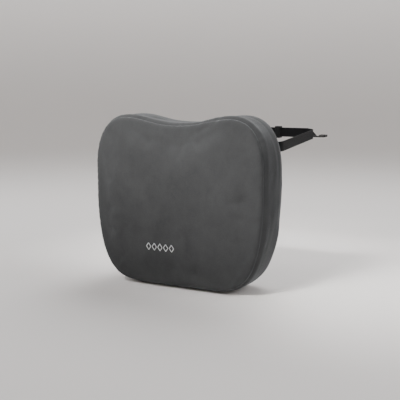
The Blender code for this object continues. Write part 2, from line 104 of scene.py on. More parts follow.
def add_node(
    tree: bpy.types.NodeTree,
    kind: str,
    settings: dict[str, Any] | None = None,
    values: dict[str | int, Any] | None = None,
    links: dict[str | int, bpy.types.NodeSocket] | None = None,
) -> bpy.types.Node:
    """Add one node with its settings, socket values and links.

    Args:
        tree: the node tree it goes in.
        kind: the node's type name.
        settings: its own properties by name.
        values: input values by socket name or number.
        links: the output sockets that feed its inputs.

    Returns:
        The new node.
    """
    node = tree.nodes.new(kind)
    for name, value in (settings or {}).items():
        setattr(node, name, value)
    plug_in(tree, node, values or {}, links or {})
    return node


def plug_in(
    tree: bpy.types.NodeTree,
    node: bpy.types.Node,
    values: dict[str | int, Any],
    links: dict[str | int, bpy.types.NodeSocket],
) -> None:
    """Set a node's sockets: plain values straight on them, and links from other nodes.

    Args:
        tree: the node tree it is in.
        node: the node.
        values: input values by socket name or number.
        links: the output sockets that feed its inputs.
    """
    for name, value in values.items():
        node.inputs[name].default_value = value
    for name, socket in links.items():
        tree.links.new(socket, node.inputs[name])


def new_material(name: str) -> tuple[bpy.types.Material, bpy.types.NodeTree, bpy.types.Node]:
    """Make a material that has only its Principled shader and output.

    Args:
        name: the material's name.

    Returns:
        The material, its node tree and the shader node.
    """
    material = bpy.data.materials.new(name)
    material.use_nodes = True
    return material, material.node_tree, material.node_tree.nodes["Principled BSDF"]


def mesh_piece(name: str, points: Any, faces: Any, smooth: bool = True) -> bpy.types.Object:
    """Make a mesh object from points and faces.

    Args:
        name: the piece's name.
        points: its corners in metres.
        faces: its faces as rows of corner numbers.
        smooth: whether its faces shade smoothly.

    Returns:
        The linked object.
    """
    mesh = bpy.data.meshes.new(name)
    mesh.from_pydata([tuple(map(float, p)) for p in points], [], [tuple(map(int, f)) for f in faces])
    mesh.validate()
    mesh.shade_smooth() if smooth else mesh.shade_flat()
    piece = bpy.data.objects.new(name, mesh)
    bpy.context.scene.collection.objects.link(piece)
    return piece


def part_rim(mesh: bpy.types.Mesh) -> None:
    """Stop the smooth shading at a sheet's open edges, so that its thickness draws no pale line there.

    Args:
        mesh: the sheet's mesh.
    """
    edges = np.empty(len(mesh.loops), np.int32)
    mesh.loops.foreach_get("edge_index", edges)
    alone = np.bincount(edges, minlength=len(mesh.edges)) == 1
    mesh.attributes.new("sharp_edge", "BOOLEAN", "EDGE").data.foreach_set("value", alone)


def settle(
    piece: bpy.types.Object, body: Body, material: bpy.types.Material, slot: str, *nodes: str
) -> bpy.types.Object:
    """Give a piece its finish and its body, and hide the nodes it stands for.

    Args:
        piece: the finished piece.
        body: the body it rides on.
        material: its finish.
        slot: not used.
        nodes: the nodes it stands for.

    Returns:
        The same piece.
    """
    piece.data.materials.clear()
    piece.data.materials.append(material)
    if nodes:
        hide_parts(*nodes)
    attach(piece, body.value)
    LOG.info("piece %s on %s", piece.name, body.value)
    return piece


def refinish(node: str, material: bpy.types.Material, rounding: float = 0.0) -> bpy.types.Object:
    """Give a CAD node a better finish, and softened edges where it is moulded or cast.

    Args:
        node: the node's name.
        material: its finish.
        rounding: width of the softened edges, in metres.

    Returns:
        The node's object.
    """
    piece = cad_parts[node]
    piece.data.materials.clear()
    piece.data.materials.append(material)
    if rounding:
        edge = piece.modifiers.new("softened edges", "BEVEL")
        edge.width = rounding
        edge.segments = 2
        edge.limit_method = "ANGLE"
        edge.angle_limit = math.radians(35)
        edge.harden_normals = False
    LOG.info("node %s refinished", node)
    return piece


def tube_faces(first: int, rows: int, count: int) -> list[tuple[int, ...]]:
    """Faces of a closed tube whose rings turn right-handed about the way it runs.

    Args:
        first: number of the tube's first point.
        rows: how many rings it has.
        count: points in each ring.

    Returns:
        Its wall and both its ends, facing out.
    """
    faces = [tuple(first + turn for turn in reversed(range(count)))]
    for here in range(first, first + (rows - 1) * count, count):
        for turn in range(count):
            after, there = (turn + 1) % count, here + count
            faces.append((here + turn, here + after, there + after, there + turn))
    return faces + [tuple(first + (rows - 1) * count + turn for turn in range(count))]


def waves(along: np.ndarray, low: int, high: int, seed: int, terms: int = 9) -> np.ndarray:
    """Unevenness that repeats once round the pillow: a seeded sum of sines.

    Args:
        along: place round the outline, from 0 to 1.
        low: fewest waves round the outline.
        high: most waves round the outline.
        seed: seed of the phases.
        terms: how many sines are summed.

    Returns:
        Values of about -1 to 1.
    """
    dice = np.random.default_rng(seed)
    counts = dice.integers(low, high + 1, terms)
    phases = dice.uniform(0, 2 * math.pi, terms)
    total = sum(np.sin(2 * math.pi * c * along + p) for c, p in zip(counts, phases))
    return total / math.sqrt(terms * 2)


def lumps(points: np.ndarray, size: float, seed: int, terms: int = 24) -> np.ndarray:
    """Smooth lumps in space: a seeded sum of plane waves.

    Args:
        points: places in metres.
        size: the lumps' usual length in metres.
        seed: seed of the directions and phases.
        terms: how many waves are summed.

    Returns:
        Values of about -1 to 1.
    """
    dice = np.random.default_rng(seed)
    total = np.zeros(len(points))
    for _ in range(terms):
        direction = dice.normal(size=3)
        direction *= 2 * math.pi / (size * dice.uniform(0.7, 1.6)) / np.linalg.norm(direction)
        total += np.sin(points @ direction + dice.uniform(0, 2 * math.pi))
    return total / math.sqrt(terms * 2)


# ---- finishes ----


@dataclass(frozen=True)
class BrushedSuede:
    """Polyester microfibre suede, knitted, then brushed to a short nap.

    To the eye: matt and dark face on, a soft pale rim where it turns away, and faint cloudy marks
    where the nap has been stroked one way or the other.
    """

    name: str = "brushed_polyester_suede"
    slot: str = "charcoal_suede"
    shade: str = "#323334"
    light: str = "#3d3e3f"
    rim: str = "#c4c8cb"
    stroke: float = 34 * MM
    cloud: float = 11 * MM
    # Fibre clumps are about 0.3 mm; drawn 1.3 mm so that they show at the render's size
    clump: float = 1.3 * MM
    cloud_share: float = 0.42
    clump_share: float = 0.30
    roughness: float = 0.88
    specular: float = 0.06
    sheen: float = 0.34
    sheen_roughness: float = 0.35

    def material(self) -> bpy.types.Material:
        """Build the finish.

        Returns:
            The material.
        """
        material, tree, shader = new_material(self.name)
        place = add_node(tree, "ShaderNodeTexCoord").outputs["Object"]
        laid = add_node(tree, "ShaderNodeMapping", values={"Scale": (1.0, 1.0, 0.8)}, links={"Vector": place})
        scales = ((self.stroke, 2.0, 0.5, 0.6), (self.cloud, 3.0, 0.6, 0.0), (self.clump, 2.0, 0.65, 0.0))
        broad, small, nap = [
            add_node(
                tree, "ShaderNodeTexNoise",
                values={"Scale": 1 / size, "Detail": detail, "Roughness": rough, "Distortion": warp},
                links={"Vector": laid.outputs[0]},
            ).outputs["Fac"]
            for size, detail, rough, warp in scales
        ]
        marks = add_node(
            tree, "ShaderNodeMix", {"data_type": "FLOAT"}, {0: self.cloud_share}, {2: broad, 3: small}
        )
        mottle = add_node(
            tree, "ShaderNodeMix", {"data_type": "FLOAT"}, {0: self.clump_share}, {2: marks.outputs[0], 3: nap}
        )
        spread = add_node(
            tree, "ShaderNodeMapRange",
            values={"From Min": 0.32, "From Max": 0.68}, links={"Value": mottle.outputs[0]},
        )
        colour = add_node(
            tree, "ShaderNodeMix", {"data_type": "RGBA"},
            {6: linear(self.shade), 7: linear(self.light)}, {0: spread.outputs[0]},
        )
        bump = add_node(
            tree, "ShaderNodeBump", values={"Strength": 0.55, "Distance": 0.35 * MM}, links={"Height": nap}
        )
        values = {
            "Roughness": self.roughness, "Specular IOR Level": self.specular, "Sheen Weight": self.sheen,
            "Sheen Roughness": self.sheen_roughness, "Sheen Tint": linear(self.rim),
        }
        plug_in(tree, shader, values, {"Base Color": colour.outputs[2], "Normal": bump.outputs[0]})
        return material


@dataclass(frozen=True)
class BackingKnit:
    """Plain warp knit of textured polyester on the back: dull, with fine upright wales."""

    name: str = "warp_knit_backing"
    slot: str = "charcoal_backing_cloth"
    shade: str = "#2b2b2c"
    light: str = "#434243"
    # Wales are about 0.8 mm apart; drawn 1.8 mm so that they show at the render's size
    wale: float = 1.8 * MM
    roughness: float = 0.9
    specular: float = 0.2
    sheen: float = 0.12

    def material(self) -> bpy.types.Material:
        """Build the finish.

        Returns:
            The material.
        """
        material, tree, shader = new_material(self.name)
        place = add_node(tree, "ShaderNodeTexCoord").outputs["Object"]
        wales, loops = [
            add_node(
                tree, "ShaderNodeTexWave", {"wave_type": "BANDS", "bands_direction": way, "wave_profile": "SIN"},
                {"Scale": WAVE_UNIT / self.wale, "Distortion": warp, "Detail": 1.0, "Detail Scale": 2.0},
                {"Vector": place},
            ).outputs["Fac"]
            for way, warp in (("X", 0.35), ("Z", 0.5))
        ]
        knit = add_node(tree, "ShaderNodeMix", {"data_type": "FLOAT"}, {0: 0.35}, {2: wales, 3: loops})
        fuzz = add_node(
            tree, "ShaderNodeTexNoise", values={"Scale": 60.0, "Detail": 3.0}, links={"Vector": place}
        )
        tone = add_node(
            tree, "ShaderNodeMix", {"data_type": "FLOAT"}, {0: 0.45},
            {2: knit.outputs[0], 3: fuzz.outputs["Fac"]},
        )
        colour = add_node(
            tree, "ShaderNodeMix", {"data_type": "RGBA"},
            {6: linear(self.shade), 7: linear(self.light)}, {0: tone.outputs[0]},
        )
        bump = add_node(
            tree, "ShaderNodeBump", values={"Strength": 0.7, "Distance": 0.4 * MM},
            links={"Height": knit.outputs[0]},
        )
        values = {"Roughness": self.roughness, "Specular IOR Level": self.specular, "Sheen Weight": self.sheen}
        plug_in(tree, shader, values, {"Base Color": colour.outputs[2], "Normal": bump.outputs[0]})
        return material


@dataclass(frozen=True)
class WovenTape:
    """Polyester webbing or tape, woven: tight cross ribs that catch a dull light along the strap.

    The weave reads the piece's own length and width, in metres, from its UV map.
    """

    name: str
    slot: str
    shade: str
    light: str
    # Ribs are about 0.7 mm apart; drawn coarser so that they show at the render's size
    rib: float = 1.3 * MM
    column: float = 1.9 * MM
    roughness: float = 0.75
    specular: float = 0.12
    sheen: float = 0.03

    def material(self) -> bpy.types.Material:
        """Build the finish.

        Returns:
            The material.
        """
        material, tree, shader = new_material(self.name)
        place = add_node(tree, "ShaderNodeUVMap", {"uv_map": "weave"}).outputs[0]
        ribs, columns = [
            add_node(
                tree, "ShaderNodeTexWave", {"wave_type": "BANDS", "bands_direction": way, "wave_profile": "SIN"},
                {"Scale": WAVE_UNIT / pitch, "Distortion": warp, "Detail": 1.0}, {"Vector": place},
            ).outputs["Fac"]
            for way, pitch, warp in (("X", self.rib, 0.25), ("Y", self.column, 0.2))
        ]
        weave = add_node(
            tree, "ShaderNodeMix", {"data_type": "FLOAT", "clamp_result": True}, {0: 0.4}, {2: ribs, 3: columns}
        )
        colour = add_node(
            tree, "ShaderNodeMix", {"data_type": "RGBA"},
            {6: linear(self.shade), 7: linear(self.light)}, {0: weave.outputs[0]},
        )
        bump = add_node(
            tree, "ShaderNodeBump", values={"Strength": 0.8, "Distance": 0.3 * MM},
            links={"Height": weave.outputs[0]},
        )
        values = {"Roughness": self.roughness, "Specular IOR Level": self.specular, "Sheen Weight": self.sheen}
        plug_in(tree, shader, values, {"Base Color": colour.outputs[2], "Normal": bump.outputs[0]})
        return material


@dataclass(frozen=True)
class FlatCloth:
    """Plain woven polyester tape at the zip: dull black, with a fine crossing weave."""

    name: str = "woven_zip_tape"
    slot: str = "zip_tape_cloth"
    shade: str = "#1a1a1b"
    light: str = "#2a2a2c"
    # Threads are about 0.35 mm apart; drawn 1 mm so that they show at the render's size
    thread: float = 1.0 * MM
    roughness: float = 0.8

    def material(self) -> bpy.types.Material:
        """Build the finish.

        Returns:
            The material.
        """
        material, tree, shader = new_material(self.name)
        place = add_node(tree, "ShaderNodeTexCoord").outputs["Object"]
        weave = add_node(
            tree, "ShaderNodeTexWave", {"wave_type": "BANDS", "bands_direction": "DIAGONAL"},
            {"Scale": WAVE_UNIT / self.thread, "Distortion": 0.4}, {"Vector": place},
        )
        colour = add_node(
            tree, "ShaderNodeMix", {"data_type": "RGBA"},
            {6: linear(self.shade), 7: linear(self.light)}, {0: weave.outputs["Fac"]},
        )
        bump = add_node(
            tree, "ShaderNodeBump", values={"Strength": 0.6, "Distance": 0.2 * MM},
            links={"Height": weave.outputs["Fac"]},
        )
        links = {"Base Color": colour.outputs[2], "Normal": bump.outputs[0]}
        plug_in(tree, shader, {"Roughness": self.roughness}, links)
        return material


@dataclass(frozen=True)
class MouldedPlastic:
    """Injection-moulded acetal or nylon: black, a satin gloss broken by the mould's fine spark texture."""

    name: str = "moulded_black_acetal"
    slot: str = "black_acetal"
    colour: str = "#0c0d0e"
    worn: str = "#151618"
    roughness: float = 0.52
    ior: float = 1.48
    specular: float = 0.2
    # Spark texture is about 0.1 mm; drawn 0.5 mm so that it shows at the render's size
    grain: float = 0.5 * MM

    def material(self) -> bpy.types.Material:
        """Build the finish.

        Returns:
            The material.
        """
        material, tree, shader = new_material(self.name)
        place = add_node(tree, "ShaderNodeTexCoord").outputs["Object"]
        grain = add_node(
            tree, "ShaderNodeTexNoise", values={"Scale": 1 / self.grain, "Detail": 2.0}, links={"Vector": place}
        )
        rub = add_node(
            tree, "ShaderNodeTexNoise", values={"Scale": 110.0, "Detail": 3.0}, links={"Vector": place}
        )
        colour = add_node(
            tree, "ShaderNodeMix", {"data_type": "RGBA"},
            {6: linear(self.colour), 7: linear(self.worn)}, {0: rub.outputs["Fac"]},
        )
        gloss = add_node(
            tree, "ShaderNodeMapRange",
            values={"To Min": self.roughness - 0.07, "To Max": self.roughness + 0.1},
            links={"Value": rub.outputs["Fac"]},
        )
        bump = add_node(
            tree, "ShaderNodeBump", values={"Strength": 0.35, "Distance": 0.06 * MM},
            links={"Height": grain.outputs["Fac"]},
        )
        links = {"Base Color": colour.outputs[2], "Roughness": gloss.outputs[0], "Normal": bump.outputs[0]}
        plug_in(tree, shader, {"IOR": self.ior, "Specular IOR Level": self.specular}, links)
        return material


@dataclass(frozen=True)
class LacqueredZinc:
    """Die-cast zinc under black lacquer: smooth and dark, worn a little paler where fingers pull it."""

    name: str = "black_lacquered_zinc"
    slot: str = "zip_black_metal"
    lacquer: str = "#1b1c1f"
    worn: str = "#4a4b50"
    roughness: float = 0.3
    metallic: float = 0.8

    def material(self) -> bpy.types.Material:
        """Build the finish.

        Returns:
            The material.
        """
        material, tree, shader = new_material(self.name)
        place = add_node(tree, "ShaderNodeTexCoord").outputs["Object"]
        rub = add_node(
            tree, "ShaderNodeTexNoise", values={"Scale": 260.0, "Detail": 4.0, "Roughness": 0.7},
            links={"Vector": place},
        )
        wear = add_node(
            tree, "ShaderNodeMapRange", values={"From Min": 0.52, "From Max": 0.75},
            links={"Value": rub.outputs["Fac"]},
        )
        colour = add_node(
            tree, "ShaderNodeMix", {"data_type": "RGBA"},
            {6: linear(self.lacquer), 7: linear(self.worn)}, {0: wear.outputs[0]},
        )
        gloss = add_node(
            tree, "ShaderNodeMapRange",
            values={"To Min": self.roughness - 0.06, "To Max": self.roughness + 0.16},
            links={"Value": rub.outputs["Fac"]},
        )
        links = {"Base Color": colour.outputs[2], "Roughness": gloss.outputs[0]}
        plug_in(tree, shader, {"Metallic": self.metallic}, links)
        return material


@dataclass(frozen=True)
class OpenFoam:
    """Slow-recovery polyurethane foam, cast in a mould: cream, matt and finely pored."""

    name: str = "moulded_memory_foam"
    slot: str = "memory_foam"
    skin: str = "#e3dbc2"
    pore: str = "#bfb391"
    # Pores are about 0.5 mm; drawn 1.5 mm so that they show at the render's size
    cell: float = 1.5 * MM
    roughness: float = 0.95

    def material(self) -> bpy.types.Material:
        """Build the finish.

        Returns:
            The material.
        """
        material, tree, shader = new_material(self.name)
        place = add_node(tree, "ShaderNodeTexCoord").outputs["Object"]
        cells = add_node(
            tree, "ShaderNodeTexVoronoi", values={"Scale": 1 / self.cell}, links={"Vector": place}
        )
        colour = add_node(
            tree, "ShaderNodeMix", {"data_type": "RGBA"},
            {6: linear(self.pore), 7: linear(self.skin)}, {0: cells.outputs["Distance"]},
        )
        bump = add_node(
            tree, "ShaderNodeBump", values={"Strength": 0.5, "Distance": 0.4 * MM},
            links={"Height": cells.outputs["Distance"]},
        )
        links = {"Base Color": colour.outputs[2], "Normal": bump.outputs[0]}
        plug_in(tree, shader, {"Roughness": self.roughness}, links)
        return material


@dataclass(frozen=True)
class SpunThread:
    """Trilobal polyester thread: a silky line of light along each stitch."""

    name: str
    slot: str
    colour: str
    roughness: float = 0.42
    sheen: float = 0.2

    def material(self) -> bpy.types.Material:
        """Build the finish.

        Returns:
            The material.
        """
        material, tree, shader = new_material(self.name)
        place = add_node(tree, "ShaderNodeTexCoord").outputs["Object"]
        twist = add_node(
            tree, "ShaderNodeTexNoise", values={"Scale": 900.0, "Detail": 1.0}, links={"Vector": place}
        )
        low = tuple(0.72 * part for part in linear(self.colour)[:3]) + (1.0,)
        colour = add_node(
            tree, "ShaderNodeMix", {"data_type": "RGBA"}, {6: low, 7: linear(self.colour)},
            {0: twist.outputs["Fac"]},
        )
        values = {"Roughness": self.roughness, "Sheen Weight": self.sheen}
        plug_in(tree, shader, values, {"Base Color": colour.outputs[2]})
        return material


# ---- pillow ----


@dataclass
class Surface:
    """A soft surface with each point's place round the outline and distance across from the front seam."""

    points: np.ndarray
    faces: np.ndarray
    across: np.ndarray
    along: np.ndarray


@dataclass(frozen=True)
class PillowForm:
    """Outline and section of the pillow, in metres, X across and Z up from the flat base."""

    width: float = 0.280
    height: float = 0.254
    dip_depth: float = 0.011
    dip_reach: float = 0.043
    lobe_x: float = 0.085
    lobe_inner_reach: float = 0.029
    lobe_outer_reach: float = 0.0385
    girth_z: float = 0.175
    girth_upper_reach: float = 0.0455
    girth_lower_reach: float = 0.034
    flank_x: float = 0.135
    flank_z: float = 0.0765
    flank_lean: float = math.radians(10)
    flank_upper_reach: float = 0.0335
    flank_lower_reach: float = 0.055
    base_half: float = 0.057
    base_reach: float = 0.0485
    back_y: float = 0.0395
    crown: float = 0.0145
    fullness: float = 3.0
    front_draw: float = 0.0036
    front_ease: float = 0.014
    rear_round: float = 0.0265
    around: int = 160
    length: float = 0.856
    front_rings: tuple[float, ...] = (0.0025, 0.0062, 0.011, 0.0165, 0.0225, 0.029)
    cell: float = 0.0055

    def outline(self) -> np.ndarray:
        """The outline as evenly spaced points, clockwise from the dip in the top edge.

        Returns:
            X and Z of each point.
        """
        lean = Vector((-math.sin(self.flank_lean), -math.cos(self.flank_lean)))
        dip = Vector((0.0, self.height - self.dip_depth))
        lobe = Vector((self.lobe_x, self.height))
        girth = Vector((self.width / 2, self.girth_z))
        flank = Vector((self.flank_x, self.flank_z))
        base = Vector((self.base_half, 0.0))
        over = Vector((1.0, 0.0))
        down = Vector((0.0, -1.0))
        arcs = [
            (dip, dip + over * self.dip_reach, lobe - over * self.lobe_inner_reach, lobe),
            (lobe, lobe + over * self.lobe_outer_reach, girth - down * self.girth_upper_reach, girth),
            (girth, girth + down * self.girth_lower_reach, flank - lean * self.flank_upper_reach, flank),
            (flank, flank + lean * self.flank_lower_reach, base + over * self.base_reach, base),
        ]
        right = [point for arc in arcs for point in interpolate_bezier(*arc, 65)[:-1]]
        right += [base, Vector((0.0, 0.0))]
        path = np.array([(p.x, p.y) for p in right])
        loop = np.vstack([path, path[-2:0:-1] * (-1, 1), path[:1]])
        length = np.concatenate([[0], np.cumsum(np.linalg.norm(np.diff(loop, axis=0), axis=1))])
        places = np.linspace(0, length[-1], self.around, endpoint=False)
        return np.column_stack([np.interp(places, length, loop[:, axis]) for axis in (0, 1)])

    def ring(self, inset: float, y: float, shrink: float = 1.0) -> np.ndarray:
        """The outline drawn in, shrunk about the pillow's centre and set at a depth.

        Args:
            inset: distance drawn in at right angles to the outline.
            y: depth of the ring.
            shrink: share of its size kept.

        Returns:
            The ring's points.
        """
        edge = self.outline()
        run = np.roll(edge, -1, axis=0) - np.roll(edge, 1, axis=0)
        run /= np.linalg.norm(run, axis=1)[:, None]
        edge = edge + np.column_stack([run[:, 1], -run[:, 0]]) * inset
        centre = np.array([0.0, self.height / 2])
        edge = centre + (edge - centre) * shrink
        return np.column_stack([edge[:, 0], np.full(len(edge), y), edge[:, 1]])

    def crown_line(self) -> tuple[np.ndarray, np.ndarray, np.ndarray]:
        """The crown's section, from the seam to its top.

        Returns:
            Shrink, rise and distance from the seam along it.
        """
        angle = np.linspace(0, math.pi / 2, 3000)
        shrink = np.cos(angle) ** (2 / self.fullness)
        rise = self.crown * np.sin(angle) ** (2 / self.fullness)
        step = np.hypot(np.diff(shrink * self.height / 2), np.diff(rise))
        return shrink, rise, np.concatenate([[0], np.cumsum(step)])

    def side_line(self) -> tuple[np.ndarray, np.ndarray, np.ndarray]:
        """The side band's section, from the front seam to the back one.

        Returns:
            Inset, depth and distance from the front seam along it.
        """
        depth = np.linspace(-self.back_y, self.back_y - self.rear_round, 400)
        ease = np.clip(1 - (depth + self.back_y) / self.front_ease, 0, 1)
        angle = np.linspace(0, math.pi / 2, 400)[1:]
        inset = np.concatenate([self.front_draw * ease**2, self.rear_round * (1 - np.cos(angle))])
        depth = np.concatenate([depth, self.back_y - self.rear_round * (1 - np.sin(angle))])
        step = np.hypot(np.diff(inset), np.diff(depth))
        return inset, depth, np.concatenate([[0], np.cumsum(step)])

    def side_width(self) -> float:
        """Width of the side band from seam to seam."""
        return float(self.side_line()[2][-1])

    def patch(self, ring: np.ndarray, first: int, start: int) -> tuple[np.ndarray, list[tuple[int, ...]]]:
        """Fill the inside of a ring with an even grid that meets it corner to corner.

        Args:
            ring: the ring's points.
            first: number of the ring's first point in the whole surface.
            start: number that the grid's first new point will have.

        Returns:
            The new points, and the grid's faces.
        """
        count = self.around
        side = count // 4
        corner = [count // 8 + side * turn for turn in range(4)]
        top = [(corner[3] + step) % count for step in range(side + 1)]
        right = [(corner[0] + step) % count for step in range(side + 1)]
        bottom = [(corner[2] - step) % count for step in range(side + 1)]
        left = [(corner[3] - step) % count for step in range(side + 1)]
        share = np.linspace(0, 1, side + 1)
        u, v = share[:, None, None], share[None, :, None]
        grid = (1 - v) * ring[top][:, None] + v * ring[bottom][:, None]
        grid = grid + (1 - u) * ring[left][None] + u * ring[right][None]
        grid = grid - (1 - u) * (1 - v) * ring[top[0]] - u * (1 - v) * ring[top[-1]]
        grid = grid - (1 - u) * v * ring[bottom[0]] - u * v * ring[bottom[-1]]
        number = np.zeros((side + 1, side + 1), int)
        number[:, 0] = np.array(top) + first
        number[:, side] = np.array(bottom) + first
        number[0, :] = np.array(left) + first
        number[side, :] = np.array(right) + first
        inner = (side - 1) ** 2
        number[1:side, 1:side] = np.arange(start, start + inner).reshape(side - 1, side - 1)
        faces = [
            (number[i, j], number[i + 1, j], number[i + 1, j + 1], number[i, j + 1])
            for i in range(side) for j in range(side)
        ]
        return grid[1:side, 1:side].reshape(-1, 3), faces

    def cage(self) -> Surface:
        """Build the coarse skin: front grid, rings over both seams and the side band, back grid.

        Returns:
            The closed surface.
        """
        shrink, rise, crown_way = self.crown_line()
        inset, depth, side_way = self.side_line()
        width = side_way[-1]
        spans = [0.0, *self.front_rings[:3]]
        count = round((width - 2 * spans[-1]) / self.cell)
        middle = np.linspace(spans[-1], width - spans[-1], count + 1)
        side_places = [*spans[:-1], *middle, *(width - span for span in reversed(spans[:-1]))]
        rings, across = [], []
        for way in reversed(self.front_rings):
            size, lift = np.interp(way, crown_way, shrink), np.interp(way, crown_way, rise)
            rings.append(self.ring(self.front_draw, -self.back_y - lift, size))
            across.append(-way)
        for way in side_places:
            rings.append(self.ring(np.interp(way, side_way, inset), np.interp(way, side_way, depth)))
            across.append(way)
        for way in self.front_rings[:4]:
            size = 1 - way / (self.height / 2 - self.rear_round)
            rings.append(self.ring(self.rear_round, self.back_y, size))
            across.append(width + way)
        faces = []
        turn = np.arange(self.around)
        for row in range(len(rings) - 1):
            here, there = row * self.around, (row + 1) * self.around
            after = (turn + 1) % self.around
            faces += list(zip(here + turn, here + after, there + after, there + turn))
        points = np.vstack(rings)
        span = np.repeat(across, self.around)
        front, front_faces = self.patch(rings[0], 0, len(points))
        edge = self.ring(self.front_draw, 0.0)
        reach = self.polar(edge)
        size = self.polar_share(front, reach)
        front[:, 1] = -self.back_y - np.interp(size, shrink[::-1], rise[::-1])
        points = np.vstack([points, front])
        span = np.concatenate([span, -np.interp(size, shrink[::-1], crown_way[::-1])])
        back, back_faces = self.patch(rings[-1], (len(rings) - 1) * self.around, len(points))
        size = self.polar_share(back, self.polar(self.ring(self.rear_round, 0.0)))
        points = np.vstack([points, back])
        span = np.concatenate([span, width + (1 - size) * (self.height / 2 - self.rear_round)])
        faces += [face[::-1] for face in front_faces] + back_faces
        along = np.concatenate([
            np.tile(turn / self.around, len(rings)),
            self.round_place(front), self.round_place(back),
        ])
        return Surface(points, np.array(faces), span, along)

    def polar(self, ring: np.ndarray) -> tuple[np.ndarray, np.ndarray]:
        """A ring in order of angle about the pillow's centre.

        Args:
            ring: the ring's points.

        Returns:
            Angle and distance from the centre.
        """
        spot = ring[:, [0, 2]] - (0.0, self.height / 2)
        angle = np.arctan2(spot[:, 0], spot[:, 1])
        order = np.argsort(angle)
        return angle[order], np.linalg.norm(spot, axis=1)[order]

    def polar_share(self, points: np.ndarray, reach: tuple[np.ndarray, np.ndarray]) -> np.ndarray:
        """How far out each point lies, as a share of the ring's distance in its direction.

        Args:
            points: points inside the ring.
            reach: the ring as angle and distance.

        Returns:
            Shares from 0 at the centre to 1 on the ring.
        """
        spot = points[:, [0, 2]] - (0.0, self.height / 2)
        angle = np.arctan2(spot[:, 0], spot[:, 1])
        return np.linalg.norm(spot, axis=1) / np.interp(angle, *reach, period=2 * math.pi)

    def round_place(self, points: np.ndarray) -> np.ndarray:
        """Place round the outline in each point's direction from the centre.

        Args:
            points: points anywhere on the skin.

        Returns:
            Places from 0 to 1.
        """
        spot = points[:, [0, 2]] - (0.0, self.height / 2)
        edge = self.outline() - (0.0, self.height / 2)
        angle = np.unwrap(np.arctan2(edge[:, 0], edge[:, 1]))
        angle = np.append(angle, angle[0] + 2 * math.pi)
        here = np.mod(np.arctan2(spot[:, 0], spot[:, 1]) - angle[0], 2 * math.pi) + angle[0]
        return np.interp(here, angle, np.linspace(0, 1, len(angle)))


def normals_of(surface: Surface) -> np.ndarray:
    """Find the outward normals of a closed surface.

    Args:
        surface: the surface.

    Returns:
        A unit normal at each point.
    """
    corner = surface.points[surface.faces]
    face = np.cross(corner[:, 2] - corner[:, 0], corner[:, 3] - corner[:, 1])
    total = np.zeros_like(surface.points)
    for place in range(4):
        np.add.at(total, surface.faces[:, place], face)
    total /= np.linalg.norm(total, axis=1)[:, None]
    centre = surface.points.mean(axis=0)
    return total if np.sum(total * (surface.points - centre)) > 0 else -total


def facing_out(points: np.ndarray, faces: np.ndarray, outward: np.ndarray) -> np.ndarray:
    """Faces turned so that they face the way their points' normals do.

    Args:
        points: the surface's points.
        faces: its faces, all wound the same way.
        outward: outward normals at its points.

    Returns:
        The faces, wound the other way where they faced in.
    """
    corner = points[faces[0]]
    facing = np.cross(corner[2] - corner[0], corner[3] - corner[1]) @ outward[faces[0][0]]
    return faces if facing > 0 else faces[:, ::-1]


@dataclass(frozen=True)
class Inflation:
    """Cloth under air pressure, held at its seams: how the cover takes its stuffing."""

    pressure: float = 4.0
    frames: int = 20
    start_inset: float = 2.2 * MM
    front_cap: float = 6 * MM
    side_cap: float = 3.6 * MM
    give: float = 0.4 * MM
    slack: float = -0.012
    mass: float = 0.35
    stretch: float = 18
    bending: float = 1.2
    slide_cap: float = 1.5 * MM

    def run(self, surface: Surface, held: np.ndarray) -> np.ndarray:
        """Blow the surface up against the points that are held.

        Args:
            surface: the closed coarse surface.
            held: how firmly each point is held, from 0 to 1.

        Returns:
            The points after the simulation, none further out than the caps and none sunk into the foam.
        """
        out = normals_of(surface)
        start = surface.points - out * (self.start_inset * (1 - held))[:, None]
        piece = mesh_piece("cover_blank", start, surface.faces)
        group = piece.vertex_groups.new(name="held")
        for number, weight in enumerate(held):
            if weight > 0:
                group.add([number], float(weight), "REPLACE")
        cloth = piece.modifiers.new("cover", "CLOTH")
        settings = {
            "quality": 7, "mass": self.mass, "tension_stiffness": self.stretch,
            "compression_stiffness": self.stretch, "bending_stiffness": self.bending, "shrink_min": self.slack,
            "use_pressure": True, "uniform_pressure_force": self.pressure, "vertex_group_mass": group.name,
        }
        for name, value in settings.items():
            setattr(cloth.settings, name, value)
        cloth.settings.effector_weights.gravity = 0.0
        cloth.collision_settings.use_collision = False
        cloth.point_cache.frame_start = 1
        cloth.point_cache.frame_end = self.frames
        for moment in range(1, self.frames + 1):
            bpy.context.scene.frame_set(moment)
        blown = piece.evaluated_get(bpy.context.evaluated_depsgraph_get()).data
        found = np.empty(len(start) * 3, np.float32)
        blown.vertices.foreach_get("co", found)
        bpy.data.objects.remove(piece, do_unlink=True)
        bpy.context.scene.frame_set(1)
        move = found.reshape(-1, 3).astype(float) - surface.points
        rise = np.sum(move * out, axis=1)
        cap = np.where(surface.across < 0, self.front_cap, self.side_cap)
        kept = np.where(rise > 0, cap * np.tanh(rise / cap), self.give * np.tanh(rise / self.give))
        slide = move - out * rise[:, None]
        slide *= np.minimum(1, self.slide_cap / np.maximum(np.linalg.norm(slide, axis=1), 1e-9))[:, None]
        LOG.info("cover inflated: from %.2f to %.2f mm", kept.min() / MM, kept.max() / MM)
        return surface.points + (out * kept[:, None] + slide) * (1 - held)[:, None]


@dataclass(frozen=True)
class Crease:
    """One soft crease in the front: X, Z of both its ends in metres, reach to each side and depth in mm."""

    start: tuple[float, float]
    end: tuple[float, float]
    reach: float
    depth: float


